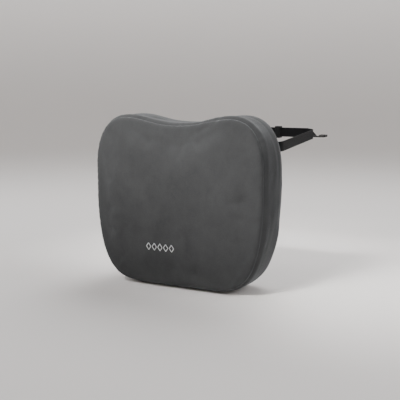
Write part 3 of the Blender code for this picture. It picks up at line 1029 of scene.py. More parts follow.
@dataclass
class PillowCover:
    """Front panel, side band and back panel: one inflated skin, then seams, folds and the zip slot."""

    form: PillowForm
    inflation: Inflation
    suede: BrushedSuede
    side_suede: BrushedSuede
    knit: BackingKnit
    seam_depth: float = 1.0 * MM
    front_seam_reach: float = 4.2 * MM
    side_seam_reach: float = 2.2 * MM
    # The seam is drawn tight at the top and eases off towards the base
    seam_ease: tuple[float, float] = (0.3, 1.0)
    ease_z: tuple[float, float] = (0.10, 0.205)
    roll: float = 1.15 * MM
    roll_place: float = 5.5 * MM
    roll_reach: float = 6.5 * MM
    back_swell: float = 1.8 * MM
    swell_half: tuple[float, float] = (0.078, 0.062)
    swell_z: float = 0.130
    pucker: float = 0.35 * MM
    pucker_reach: float = 8 * MM
    fold: float = 0.5 * MM
    fold_count: int = 70
    fold_length: tuple[float, float] = (18, 55)
    fold_reach: tuple[float, float] = (3.5, 8)
    fold_slant: float = 0.22
    lump: float = 0.4 * MM
    lump_size: float = 46 * MM
    floor_gap: float = 0.2 * MM
    cloth: float = 1.1 * MM
    slot_half: tuple[float, float] = (0.0892, 0.0042)
    crease_lines: tuple[Crease, ...] = (
        Crease((0.062, 0.245), (0.024, 0.222), 4.2, 0.8),
        Crease((-0.030, 0.243), (-0.008, 0.226), 4.5, 0.45),
        Crease((0.101, 0.020), (0.121, 0.046), 2.6, 0.8),
        Crease((0.092, 0.022), (0.108, 0.050), 3.4, 0.55),
        Crease((-0.100, 0.026), (-0.078, 0.050), 3.8, 0.45),
        Crease((0.060, 0.008), (0.050, 0.030), 3.5, 0.3),
    )

    def build(self, cage: Surface) -> dict[Panel, bpy.types.Object]:
        """Build the three panels and give them their finishes.

        Args:
            cage: the inflated surface.

        Returns:
            The panels.
        """
        surface = self.refined(cage)
        surface.points = self.sewn(surface)
        panels = self.cut(surface)
        finishes = {Panel.FRONT: self.suede, Panel.SIDE: self.side_suede, Panel.BACK: self.knit}
        for panel, piece in panels.items():
            skin = piece.modifiers.new("cloth", "SOLIDIFY")
            skin.thickness = self.cloth
            skin.offset = -1.0
            finish = finishes[panel]
            settle(piece, Body.PILLOW, finish.material(), finish.slot, panel.value)
        return panels

    def inflated(self) -> Surface:
        """Blow the coarse skin up against its seams and the back, which lies on the headrest.

        Returns:
            The inflated coarse surface.
        """
        cage = self.form.cage()
        held = (np.abs(cage.across) < 0.1 * MM) | (cage.across > self.form.side_width() - 0.1 * MM)
        cage.points = self.inflation.run(cage, held.astype(float))
        return cage

    def refined(self, cage: Surface) -> Surface:
        """The surface subdivided twice, with each point's places carried along.

        Args:
            cage: the coarse surface.

        Returns:
            The fine surface.
        """
        piece = mesh_piece("cover_cage", cage.points, cage.faces)
        values = {
            "across": cage.across,
            "turn_cos": np.cos(2 * math.pi * cage.along),
            "turn_sin": np.sin(2 * math.pi * cage.along),
        }
        for name, value in values.items():
            piece.data.attributes.new(name, "FLOAT", "POINT").data.foreach_set("value", value.astype(np.float32))
        fine = piece.modifiers.new("subdivision", "SUBSURF")
        fine.levels = fine.render_levels = 2
        mesh = piece.evaluated_get(bpy.context.evaluated_depsgraph_get()).to_mesh()
        points = np.empty(len(mesh.vertices) * 3, np.float32)
        mesh.vertices.foreach_get("co", points)
        corners = np.empty(len(mesh.loops), np.int32)
        mesh.loops.foreach_get("vertex_index", corners)
        read = {}
        for name in values:
            read[name] = np.empty(len(mesh.vertices), np.float32)
            mesh.attributes[name].data.foreach_get("value", read[name])
        bpy.data.objects.remove(piece, do_unlink=True)
        along = np.mod(np.arctan2(read["turn_sin"], read["turn_cos"]) / (2 * math.pi), 1.0)
        return Surface(
            points.reshape(-1, 3).astype(float), corners.reshape(-1, 4), read["across"].astype(float), along
        )

    def sewn(self, surface: Surface) -> np.ndarray:
        """Give the fine skin its seam valleys and puckers, folds, creases and the back's swell.

        Args:
            surface: the fine surface.

        Returns:
            Its points after all of them.
        """
        width = self.form.side_width()
        points, across, along = surface.points, surface.across, surface.along
        front, back = np.abs(across), np.abs(across - width)
        near = np.minimum(front, back)
        tight = np.interp(points[:, 2], self.ease_z, self.seam_ease)
        reach = np.where(across < 0, self.front_seam_reach, self.side_seam_reach)
        lift = -self.seam_depth * tight * np.exp(-near / reach)
        swell = np.exp(-(((near - self.roll_place) / self.roll_reach) ** 2)) * (1 - np.exp(-near / (2.2 * MM)))
        # The right-hand seam lies flatter low down
        flat = np.where(points[:, 0] > 0, 0.5 + 0.5 * tight, 1.0)
        lift += self.roll * swell * np.where(front < back, flat, 0.35)
        gather = waves(along, 55, 115, 3) * np.exp(-front / self.pucker_reach)
        gather += waves(along, 50, 100, 4) * np.exp(-back / self.pucker_reach)
        lift += self.pucker * gather * (1 - np.exp(-near / (1.5 * MM)))
        lift += self.fold * self.folds(across, along)
        lift += self.lump * lumps(points, self.lump_size, 11) * np.clip(near / (9 * MM), 0, 1)
        lift += self.creases(points, across)
        wide, high = self.swell_half
        middle = ((points[:, 0] / wide) ** 2 + ((points[:, 2] - self.swell_z) / high) ** 2) * (across > width)
        lift += self.back_swell * np.exp(-(middle**1.5)) * (across > width)
        points = points + normals_of(surface) * lift[:, None]
        points[:, 2] = np.maximum(points[:, 2], self.floor_gap)
        return points

    def folds(self, across: np.ndarray, along: np.ndarray) -> np.ndarray:
        """Long soft folds in the side band, each at a seeded place of its own.

        Args:
            across: distance from the front seam.
            along: place round the outline, from 0 to 1.

        Returns:
            The folds' height, about -1 to 1.
        """
        dice = np.random.default_rng(21)
        width = self.form.side_width()
        total = np.zeros(len(across))
        for _ in range(self.fold_count):
            run = (np.mod(along - dice.uniform() + 0.5, 1) - 0.5) * self.form.length
            middle = dice.uniform(10 * MM, width - 14 * MM)
            off = across - middle - dice.uniform(-self.fold_slant, self.fold_slant) * run
            size = dice.choice((-1, 1)) * dice.uniform(0.4, 1.0)
            long, reach = dice.uniform(*self.fold_length) * MM, dice.uniform(*self.fold_reach) * MM
            total += size * np.exp(-((run / long) ** 2) - (off / reach) ** 2)
        belly = np.clip(across / (9 * MM), 0, 1) * np.clip((width - across) / (12 * MM), 0, 1)
        return total * belly

    def creases(self, points: np.ndarray, across: np.ndarray) -> np.ndarray:
        """Soft creases pressed into the front panel, at the dip and the lower corners.

        Args:
            points: the surface's points.
            across: distance from the front seam, below zero on the front panel.

        Returns:
            How far each point moves out.
        """
        spot = points[:, [0, 2]]
        total = np.zeros(len(points))
        for crease in self.crease_lines:
            start = np.array(crease.start)
            run = np.array(crease.end) - start
            share = ((spot - start) @ run) / (run @ run)
            off = (spot - start) @ np.array([run[1], -run[0]]) / np.linalg.norm(run) / (crease.reach * MM)
            fade = np.exp(-((np.clip(share, 0, 1) - share) ** 2) * 9) * np.clip(1.25 - share, 0, 1)
            # The cloth sinks along the line and stands up a little beside it
            total += crease.depth * MM * fade * (0.55 * np.exp(-((off - 1.5) ** 2)) - np.exp(-(off**2)))
        return total * (across < 0) * np.clip(-across / (3 * MM), 0, 1)

    def cut(self, surface: Surface) -> dict[Panel, bpy.types.Object]:
        """Part the skin at its seams and open the zip slot in the back.

        Args:
            surface: the whole skin.

        Returns:
            The three panels.
        """
        width = self.form.side_width()
        middle = surface.across[surface.faces].mean(axis=1)
        chosen = {
            Panel.FRONT: middle < 0,
            Panel.SIDE: (middle > 0) & (middle < width),
            Panel.BACK: middle > width,
        }
        outward = normals_of(surface)
        panels = {}
        for panel, mask in chosen.items():
            faces, points = surface.faces[mask], surface.points.copy()
            if panel is Panel.BACK:
                faces = self.slotted(points, faces)
            used, faces = np.unique(faces, return_inverse=True)
            faces = facing_out(points[used], faces.reshape(-1, 4), outward[used])
            piece = mesh_piece(f"cover_{panel.value}", points[used], faces)
            part_rim(piece.data)
            panels[panel] = piece
        return panels

    def slotted(self, points: np.ndarray, faces: np.ndarray) -> np.ndarray:
        """Open the zip slot: drop the faces in it and draw the cloth's edge to its outline.

        Args:
            points: the skin's points, moved in place at the slot's edge.
            faces: the back panel's faces.

        Returns:
            The faces that are left.
        """
        half = np.array(self.slot_half)
        spot = points[:, [0, 2]] - (0.0, ZIP_Z)
        inside = np.all(np.abs(spot[faces].mean(axis=1)) < half, axis=1)
        edge = np.intersect1d(faces[inside], faces[~inside])
        for number in edge:
            place = spot[number]
            room = half - np.abs(place)
            axis = int(np.argmin(np.abs(room)))
            if room[1 - axis] < 0:
                place[1 - axis] = math.copysign(half[1 - axis], place[1 - axis])
            place[axis] = math.copysign(half[axis], place[axis])
            points[number, 0], points[number, 2] = place[0], place[1] + ZIP_Z
            points[number, 1] -= 0.4 * MM
        return faces[~inside]


@dataclass
class FoamCore:
    """The moulded foam inside the cover, a little smaller all round, with a recess behind the zip."""

    foam: OpenFoam
    skin: float = 3.4 * MM
    recess: float = 3.2 * MM
    recess_half: tuple[float, float] = (0.095, 0.0112)

    def build(self, cage: Surface) -> bpy.types.Object:
        """Build the foam.

        Args:
            cage: the cover's inflated surface.

        Returns:
            The foam.
        """
        outward = normals_of(cage)
        points = cage.points - outward * self.skin
        behind = (points[:, 1] > 0.03) & (np.abs(points[:, 0]) < self.recess_half[0])
        behind &= np.abs(points[:, 2] - ZIP_Z) < self.recess_half[1]
        points[behind, 1] -= self.recess
        piece = mesh_piece("foam_block", points, facing_out(points, cage.faces, outward))
        fine = piece.modifiers.new("subdivision", "SUBSURF")
        fine.levels = fine.render_levels = 1
        settle(piece, Body.PILLOW, self.foam.material(), self.foam.slot, "foam_core")
        return piece


# ---- stitching ----


@dataclass(frozen=True)
class Needlework:
    """Makes separate stitches as short bowed threads."""

    thread: SpunThread
    radius: float = 0.27 * MM
    bow: float = 0.25 * MM
    sides: int = 6

    def sew(
        self, name: str, stitches: Sequence[tuple[Vector, Vector, Vector]], body: Body
    ) -> bpy.types.Object:
        """Make one piece from many stitches.

        Args:
            name: the piece's name.
            stitches: start, end and outward direction of each stitch.
            body: the body they ride on.

        Returns:
            The piece.
        """
        points, faces = [], []
        for start, end, out in stitches:
            run = (end - start).normalized()
            side = run.cross(out).normalized()
            up = side.cross(run).normalized()
            first = len(points)
            shares = (0.0, 0.18, 0.5, 0.82, 1.0)
            for share in shares:
                lift = self.bow * math.sin(math.pi * share) - (self.radius * 0.6 if share in (0.0, 1.0) else 0.0)
                centre = start.lerp(end, share) + up * lift
                size = self.radius * (0.55 if share in (0.0, 1.0) else 1.0)
                for turn in range(self.sides):
                    angle = 2 * math.pi * turn / self.sides
                    points.append(centre + (up * math.cos(angle) + side * math.sin(angle)) * size)
            faces += tube_faces(first, len(shares), self.sides)
        piece = mesh_piece(name, points, faces)
        return settle(piece, body, self.thread.material(), self.thread.slot)

    @staticmethod
    def run(
        path: Sequence[Vector], out: Vector, pitch: float = 3.0 * MM, gap: float = 0.7 * MM
    ) -> list[tuple[Vector, Vector, Vector]]:
        """Even stitches along a path of straight lines.

        Args:
            path: the path's corners.
            out: outward direction.
            pitch: length of a stitch with its gap.
            gap: gap between stitches.

        Returns:
            The stitches.
        """
        stitches = []
        for start, end in zip(path, path[1:]):
            count = max(1, round((end - start).length / pitch))
            for number in range(count):
                a = start.lerp(end, number / count)
                b = start.lerp(end, (number + 1) / count)
                run = (b - a).normalized() * gap / 2
                stitches.append((a + run, b - run, out))
        return stitches


    def box_and_cross(
        self, corners: Sequence[Vector], out: Vector, pitch: float
    ) -> list[tuple[Vector, Vector, Vector]]:
        """Stitches round a box and along both its diagonals.

        Args:
            corners: the box's four corners in order.
            out: outward direction.
            pitch: length of a stitch with its gap.

        Returns:
            The stitches.
        """
        paths = ([*corners, corners[0]], [corners[0], corners[2]], [corners[1], corners[3]])
        return [stitch for path in paths for stitch in self.run(path, out, pitch=pitch)]


class Cloth:
    """A cloth panel that stitches are laid on."""

    def __init__(self, panel: bpy.types.Object) -> None:
        """Read the panel's surface.

        Args:
            panel: the panel.
        """
        mesh = panel.data
        self.tree = BVHTree.FromPolygons([v.co for v in mesh.vertices], [tuple(p.vertices) for p in mesh.polygons])

    def touch(self, spot: Vector, out: Vector, lift: float = 0.12 * MM) -> Vector:
        """The place on the cloth nearest the eye, looking along a direction.

        Args:
            spot: any point on the line of sight.
            out: direction towards the eye.
            lift: height above the cloth.

        Returns:
            The place.
        """
        hit = self.tree.ray_cast(spot + out * 0.3, -out)[0]
        return hit + out * lift


@dataclass
class DiamondRow:
    """A row of five open diamonds in satin stitch, low on the left of the front panel."""

    front: bpy.types.Object
    needle: Needlework
    centre: tuple[float, float] = (-0.0174, 0.0629)
    count: int = 5
    pitch: float = 9.6 * MM
    half_width: float = 3.7 * MM
    half_height: float = 5.2 * MM
    stroke: float = 1.3 * MM
    thread_pitch: float = 0.42 * MM

    def build(self) -> bpy.types.Object:
        """Sew the row onto the front panel.

        Returns:
            The row.
        """
        cloth, out = Cloth(self.front), Vector((0.0, -1.0, 0.0))
        stitches = []
        for number in range(self.count):
            x = self.centre[0] + (number - (self.count - 1) / 2) * self.pitch
            z = self.centre[1]
            corners = [
                Vector((x, z + self.half_height)), Vector((x + self.half_width, z)),
                Vector((x, z - self.half_height)), Vector((x - self.half_width, z)),
            ]
            for a, b in zip(corners, corners[1:] + corners[:1]):
                run = (b - a).normalized()
                cross = Vector((-run.y, run.x)) * self.stroke / 2 + run * 0.15 * MM
                steps = round((b - a).length / self.thread_pitch)
                for step in range(steps):
                    middle = a.lerp(b, (step + 0.5) / steps)
                    ends = [Vector((p.x, 0.0, p.y)) for p in (middle - cross, middle + cross)]
                    stitches.append((cloth.touch(ends[0], out), cloth.touch(ends[1], out), out))
        return self.needle.sew("stitched_diamond_row", stitches, Body.PILLOW)


# ---- strap ----


@dataclass
class Strap:
    """Both halves of the webbing strap, on the same path as the solids, with hems and sewn patches."""

    web: WovenTape
    suede: BrushedSuede
    needle: Needlework
    width: float = 15 * MM
    thickness: float = 1.4 * MM
    strap_z: float = 0.207
    rise: float = 0.0115
    sewn_start: float = 0.090
    sewn_end: float = 0.112
    sewn_y: float = 0.0406
    side_bend: float = 0.015
    side_slant: float = math.radians(1)
    rear_y: float = 0.208
    rear_bend: float = 0.018
    bar_wrap: float = 0.0032
    plug_bar_x: float = 0.017
    socket_bar_x: float = -0.018
    tail_turn_x: float = 0.109
    tail_turn_length: float = 0.013
    tail_tip_x: float = 0.140
    tail_drop: float = 0.006
    hem_wrap: float = 0.0013
    hem_length: float = 0.010
    fold_back_x: float = -0.045
    spacing: float = 3.0 * MM
    patch_half_height: float = 11 * MM
    patch_margin: float = 3 * MM
    patch_thickness: float = 1.2 * MM
    patch_gap: float = 0.35 * MM
    patch_seam: float = 2.4 * MM
    patch_press: float = 0.45 * MM
    stitch_pitch: float = 2.4 * MM
    patch_stitch_pitch: float = 2.5 * MM

    @property
    def buckle_y(self) -> float:
        """Depth of the buckle's middle."""
        return self.rear_y + self.bar_wrap

    @property
    def outer_y(self) -> float:
        """Depth of the webbing's outer layer."""
        return self.buckle_y + self.bar_wrap

    @property
    def rear_z(self) -> float:
        """Height of the rear run."""
        return self.strap_z + self.rise

    def build(self) -> list[bpy.types.Object]:
        """Build both straps, their stitching and their patches.

        Returns:
            The pieces.
        """
        finish = self.web.material()
        right = self.sweep("webbing_right", self.right_stations())
        left = self.sweep("webbing_left", self.left_stations())
        settle(right, Body.PILLOW, finish, self.web.slot, "strap_right")
        left.data.materials.append(finish)
        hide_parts("strap_left")
        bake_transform(left)
        LOG.info("piece %s blends from pillow to buckle socket", left.name)
        pieces = [right, left, self.tail_stitches(), self.fold_stitches()]
        suede = self.suede.material()
        for side in Side:
            pieces += self.patch(side, suede)
        return pieces

    @staticmethod
    def arc(centre: Vector, radius: float, start: float, end: float, steps: int) -> list[Vector]:
        """Step round an arc in plan.

        Args:
            centre: the arc's centre.
            radius: its radius.
            start: the angle it starts at.
            end: the angle it ends at.
            steps: how many steps it takes.

        Returns:
            Its points.
        """
        angles = [start + (end - start) * step / steps for step in range(steps + 1)]
        return [centre + Vector((math.cos(angle), math.sin(angle))) * radius for angle in angles]

    def plan(self, bar_x: float) -> list[Vector]:
        """Plan of the right-hand strap from its sewn end, round behind, to and round a buckle bar.

        Args:
            bar_x: place of the bar.

        Returns:
            X and Y of the plan's points.
        """
        sewn = Vector((self.sewn_end, self.sewn_y))
        side = self.arc(
            sewn + Vector((0.0, self.side_bend)), self.side_bend, -math.pi / 2, self.side_slant, 14
        )
        out = Vector((math.cos(self.side_slant), math.sin(self.side_slant)))
        back = Vector((-out.y, out.x))
        run = (self.rear_y - self.rear_bend + self.rear_bend * out.y - side[-1].y) / back.y
        centre = side[-1] + back * run - out * self.rear_bend
        rear = self.arc(centre, self.rear_bend, self.side_slant, math.pi / 2, 14)
        bar = Vector((bar_x, self.buckle_y))
        loop = self.arc(bar, self.bar_wrap, -math.pi / 2, -3 * math.pi / 2, 14)
        return [Vector((self.sewn_start, self.sewn_y))] + side + rear + loop

    def rising(self, plan: Sequence[Vector], side: Side) -> list[tuple[Vector, Vector]]:
        """Stations of upright webbing that climbs steadily to the rear run, closely spaced.

        Args:
            plan: the strap's plan.
            side: which half.

        Returns:
            Each station's point and the direction of the webbing's width.
        """
        dense = [plan[0]]
        for a, b in zip(plan, plan[1:]):
            steps = max(1, math.ceil((b - a).length / self.spacing))
            dense += [a.lerp(b, step / steps) for step in range(1, steps + 1)]
        stations = []
        for point in dense:
            climb = (min(point.y, self.rear_y) - self.sewn_y) / (self.rear_y - self.sewn_y)
            place = Vector((side.value * point.x, point.y, self.strap_z + self.rise * climb))
            stations.append((place, Vector((0.0, 0.0, 1.0))))
        return stations

    def right_stations(self) -> list[tuple[Vector, Vector]]:
        """Lay out the right half, to the turned and hemmed free end.

        Returns:
            Each station's point and the direction of the webbing's width.
        """
        plan = self.plan(self.plug_bar_x)
        plan.append(Vector((self.tail_turn_x, self.outer_y)))
        stations = self.rising(plan, Side.RIGHT)
        for step in range(1, 13):
            share = step / 12
            turn = math.pi / 2 * share
            x = self.tail_turn_x + self.tail_turn_length * share
            place = Vector((x, self.outer_y, self.rear_z - self.tail_drop * share))
            stations.append((place, Vector((0.0, math.sin(turn), math.cos(turn)))))
        flat = Vector((0.0, 1.0, 0.0))
        tail_z = self.rear_z - self.tail_drop
        tip = self.tail_tip_x - self.hem_wrap
        for step in range(1, 5):
            x = self.tail_turn_x + self.tail_turn_length
            stations.append((Vector((x + (tip - x) * step / 5, self.outer_y, tail_z)), flat))
        for spot in self.arc(Vector((tip, tail_z + self.hem_wrap)), self.hem_wrap, -math.pi / 2, math.pi / 2, 10):
            stations.append((Vector((spot.x, self.outer_y, spot.y)), flat))
        end = self.tail_tip_x - self.hem_length
        top = tail_z + 2 * self.hem_wrap
        stations += [(Vector((tip + (end - tip) * step / 3, self.outer_y, top)), flat) for step in (1, 2, 3)]
        return stations

    def left_stations(self) -> list[tuple[Vector, Vector]]:
        """Lay out the left half, folded back round the socket's bar.

        Returns:
            Each station's point and the direction of the webbing's width.
        """
        plan = self.plan(-self.socket_bar_x)
        plan.append(Vector((-self.fold_back_x, self.outer_y)))
        return self.rising(plan, Side.LEFT)

    def sweep(self, name: str, stations: Sequence[tuple[Vector, Vector]]) -> bpy.types.Object:
        """Webbing along its stations, with full selvedges and its length and width as a UV map.

        Args:
            name: the piece's name.
            stations: each station's point and the direction of the webbing's width.

        Returns:
            The piece.
        """
        half, thick = self.width / 2, self.thickness / 2
        upper = [
            (half, 0.35), (half - 0.25 * MM, 0.8), (half - 0.9 * MM, 1.0), (half - 1.6 * MM, 0.88),
            (half * 0.5, 0.84), (0.0, 0.86),
        ]
        upper += [(-w, h) for w, h in reversed(upper[:-1])]
        section = upper + [(w, -h) for w, h in reversed(upper)]
        points, rows = [], []
        length = 0.0
        for number, (point, over) in enumerate(stations):
            before = stations[max(number - 1, 0)][0]
            after = stations[min(number + 1, len(stations) - 1)][0]
            run = (after - before).normalized()
            up = run.cross(over).normalized()
            length += (point - before).length
            points += [point + over * w + up * (h * thick) for w, h in section]
            rows.append(length)
        count = len(section)
        piece = mesh_piece(name, points, tube_faces(0, len(stations), count))
        layer = piece.data.uv_layers.new(name="weave")
        for loop in piece.data.loops:
            row, turn = divmod(loop.vertex_index, count)
            layer.data[loop.index].uv = (rows[row], section[turn][0])
        return piece

    def tail_stitches(self) -> bpy.types.Object:
        """Sew the two rows that hold the hem of the free end.

        Returns:
            The stitches.
        """
        top = self.rear_z - self.tail_drop + 2 * self.hem_wrap + self.thickness / 2
        out = Vector((0.0, 0.0, 1.0))
        stitches = []
        for x in (self.tail_tip_x - 4 * MM, self.tail_tip_x - 8 * MM):
            path = [Vector((x, self.outer_y + way * 5.6 * MM, top)) for way in (-1, 1)]
            stitches += self.needle.run(path, out, pitch=self.stitch_pitch)
        return self.needle.sew("hem_stitches", stitches, Body.PILLOW)

    def fold_stitches(self) -> bpy.types.Object:
        """Sew the box with a cross that holds the fold behind the buckle socket.

        Returns:
            The stitches.
        """
        y = self.outer_y + self.thickness / 2
        low, high = self.fold_back_x + 2.5 * MM, self.fold_back_x + 14 * MM
        tall = 5.2 * MM
        out = Vector((0.0, 1.0, 0.0))
        corners = [
            Vector((low, y, self.rear_z - tall)), Vector((high, y, self.rear_z - tall)),
            Vector((high, y, self.rear_z + tall)), Vector((low, y, self.rear_z + tall)),
        ]
        return self.needle.sew(
            "fold_stitches", self.needle.box_and_cross(corners, out, self.stitch_pitch), Body.BUCKLE_SOCKET
        )

    def patch(self, side: Side, suede: bpy.types.Material) -> list[bpy.types.Object]:
        """A soft turned-edge patch over a sewn end, pressed in along its box-and-cross stitching.

        Args:
            side: which half.
            suede: the patch's finish.

        Returns:
            The patch and its stitching.
        """
        inner, outer = self.sewn_start - self.patch_margin, self.sewn_end
        near = self.sewn_y + self.thickness / 2 + self.patch_gap
        half = np.array([(outer - inner) / 2, self.patch_half_height])
        middle = np.array([(outer + inner) / 2, self.strap_z])
        inset = half - self.patch_seam
        steps = (40, 36)
        points, faces = [], []
        for u in np.linspace(-1, 1, steps[0] + 1):
            for v in np.linspace(-1, 1, steps[1] + 1):
                spot = np.array([u, v]) * half
                rim = min(half[0] - abs(spot[0]), half[1] - abs(spot[1]))
                ways = [
                    abs(max(abs(spot[0]) - inset[0], abs(spot[1]) - inset[1])),
                    abs(spot[0] * inset[1] - spot[1] * inset[0]) / np.linalg.norm(inset),
                    abs(spot[0] * inset[1] + spot[1] * inset[0]) / np.linalg.norm(inset),
                ]
                press = min(ways)
                full = 1 - math.exp(-rim / (0.7 * MM)) + 0.12
                lift = self.patch_thickness * min(1.0, full) - self.patch_press * math.exp(-((press / MM) ** 2))
                points.append((side.value * (middle[0] + spot[0]), near + max(lift, 0.12 * MM), middle[1] + spot[1]))
        row = steps[1] + 1
        for i in range(steps[0]):
            for j in range(steps[1]):
                faces.append((i * row + j, i * row + j + 1, (i + 1) * row + j + 1, (i + 1) * row + j))
        if side is Side.LEFT:
            faces = [face[::-1] for face in faces]
        name = side.name.lower()
        piece = mesh_piece(f"sewn_patch_{name}", points, faces)
        base = piece.modifiers.new("turned edge", "SOLIDIFY")
        base.thickness = 0.5 * MM
        base.offset = -1.0
        settle(piece, Body.PILLOW, suede, self.suede.slot, f"strap_patch_{name}")
        y = near + self.patch_thickness - self.patch_gap
        corner = [
            Vector((side.value * (middle[0] + u * inset[0]), y, middle[1] + v * inset[1]))
            for u, v in ((-1, -1), (1, -1), (1, 1), (-1, 1))
        ]
        out = Vector((0.0, 1.0, 0.0))
        stitches = self.needle.box_and_cross(corner, out, self.patch_stitch_pitch)
        return [piece, self.needle.sew(f"patch_stitches_{name}", stitches, Body.PILLOW)]


# ---- zip ----


@dataclass
class Zip:
    """Tapes, a nylon coil on each tape, end stops, slider and pull."""

    coil: MouldedPlastic
    tape: FlatCloth
    metal: LacqueredZinc
    needle: Needlework
    stitch_line: tuple[float, float] = (0.0925, 0.0072)
    half_length: float = 0.085
    coil_y: float = 39.1 * MM
    pitch: float = 1.5 * MM
    wire: float = 0.34 * MM
    loop_height: float = 0.95 * MM
    loop_depth: float = 0.42 * MM

    def build(self, back: bpy.types.Object) -> bpy.types.Object:
        """Build the coil, refinish the rest and sew the tapes in.

        Args:
            back: the back panel.

        Returns:
            The coil.
        """
        tape, metal = self.tape.material(), self.metal.material()
        for node in ("zip_tape_upper", "zip_tape_lower"):
            refinish(node, tape)
        for node in ("zip_stop_closed_end", "zip_stop_open_end"):
            refinish(node, metal)
        refinish("zip_slider", metal, rounding=0.15 * MM)
        refinish("zip_pull", metal, rounding=0.2 * MM)
        self.tape_stitches(back)
        return self.chain()

    def tape_stitches(self, back: bpy.types.Object) -> bpy.types.Object:
        """A line of stitches round the slot, through the back panel and both tapes.

        Args:
            back: the back panel.

        Returns:
            The stitches.
        """
        cloth = Cloth(back)
        wide, high = self.stitch_line
        path = [(-wide, -high), (wide, -high), (wide, high), (-wide, high), (-wide, -high)]
        out = Vector((0.0, 1.0, 0.0))
        corners = [Vector((x, 0.0, ZIP_Z + z)) for x, z in path]
        stitches = [
            (cloth.touch(a, out), cloth.touch(b, out), out)
            for a, b, _ in self.needle.run(corners, out, pitch=3.1 * MM)
        ]
        return self.needle.sew("zip_stitches", stitches, Body.PILLOW)

    def chain(self) -> bpy.types.Object:
        """Wind the two coils whose loops mesh along the middle of the zip.

        Returns:
            The coils.
        """
        points, faces = [], []
        sides, turns = 6, 10
        count = int(2 * self.half_length / self.pitch)
        for side, shift in ((1, 0.0), (-1, 0.5)):
            first = len(points)
            path = []
            for step in range(count * turns + 1):
                angle = 2 * math.pi * step / turns
                x = -self.half_length + self.wire + (step / turns + shift * 0.98) * self.pitch * 0.985
                z = side * (self.loop_height * 0.9 + self.loop_height * math.cos(angle))
                path.append(Vector((x, self.coil_y + self.loop_depth * math.sin(angle), ZIP_Z + z)))
            for number, place in enumerate(path):
                run = (path[min(number + 1, len(path) - 1)] - path[max(number - 1, 0)]).normalized()
                one = run.cross(Vector((1.0, 0.0, 0.0))).normalized()
                two = run.cross(one)
                for turn in range(sides):
                    angle = 2 * math.pi * turn / sides
                    points.append(place + (one * math.cos(angle) + two * math.sin(angle)) * self.wire)
            faces += tube_faces(first, len(path), sides)
        piece = mesh_piece("zip_coil", points, faces)
        return settle(piece, Body.PILLOW, self.coil.material(), self.coil.slot, "zip_chain")


@dataclass
class Hardware:
    """Side-release buckle and strap slide, moulded in black acetal, with a thumb pad and grip ribs."""

    acetal: MouldedPlastic
    rounding: float = 0.5 * MM
    middle_z: float = 0.2185
    socket_x: float = -0.0075
    socket_y: float = 0.2153
    pad_half: tuple[float, float] = (7.6 * MM, 7.4 * MM)
    pad_height: float = 0.6 * MM
    slide_x: float = 0.058
    slide_y: float = 0.2172
    rib_pitch: float = 1.9 * MM
    rib_half: tuple[float, float] = (0.5 * MM, 6.6 * MM)
    rib_height: float = 0.5 * MM
    pad_rib_half: tuple[float, float] = (0.45 * MM, 4.2 * MM)
    pad_rib_height: float = 0.45 * MM

    def build(self) -> list[bpy.types.Object]:
        """Refinish the buckle's two halves and the slide, and add what is moulded on them.

        Returns:
            The mouldings.
        """
        finish = self.acetal.material()
        for node in ("buckle_plug", "buckle_socket", "strap_slide"):
            refinish(node, finish, rounding=self.rounding)
        mouldings = [
            (Body.BUCKLE_SOCKET, self.socket_x, 1, self.pad_half, self.socket_y, self.pad_height, "thumb_pad"),
            (Body.STRAP_SLIDE, self.slide_x, 3, self.rib_half, self.slide_y, self.rib_height, "slide_grip_ribs"),
            (
                Body.BUCKLE_SOCKET, self.socket_x, 3, self.pad_rib_half,
                self.socket_y + self.pad_height * 0.75, self.pad_rib_height, "thumb_pad_ribs",
            ),
        ]
        pieces = []
        for body, x, count, half, y, height, name in mouldings:
            first = x - (count - 1) / 2 * self.rib_pitch
            centres = [(first + step * self.rib_pitch, self.middle_z) for step in range(count)]
            pieces.append(settle(self.dome(centres, half, y, height, name), body, finish, self.acetal.slot))
        return pieces

    @staticmethod
    def dome(
        centres: Sequence[tuple[float, float]], half: tuple[float, float], y: float, height: float, name: str
    ) -> bpy.types.Object:
        """Low rounded pads or ribs that stand on a face turned to the rear.

        Args:
            centres: X and Z of each one's middle.
            half: half width and half height.
            y: depth of the face they stand on.
            height: how far they stand out.
            name: the piece's name.

        Returns:
            The piece.
        """
        turns = 40
        rings = [(1.0, -0.25), (1.0, 0.25), (0.96, 0.6), (0.88, 0.85), (0.7, 0.95), (0.35, 1.0)]
        points, faces = [], []
        for x, z in centres:
            first = len(points)
            for share, lift in rings:
                for turn in range(turns):
                    angle = 2 * math.pi * turn / turns
                    c, s = math.cos(angle), math.sin(angle)
                    inset = (1 - share) * min(half)
                    points.append((
                        x + (half[0] - inset) * math.copysign(abs(s) ** 0.7, s),
                        y + height * lift,
                        z + (half[1] - inset) * math.copysign(abs(c) ** 0.7, c),
                    ))
            faces += tube_faces(first, len(rings), turns)
        return mesh_piece(name, points, faces)


# ---- studio ----


@dataclass(frozen=True)
class Softbox:
    """One soft light: direction from the point it is aimed at, distance, size, power, strip height and grid."""

    azimuth: float
    elevation: float
    distance: float
    size: float
    power: float
    tint: str = "#ffffff"
    aim: tuple[float, float, float] = (0.0, 0.0, 0.127)
    height: float = 0.0
    spread: float = 180.0


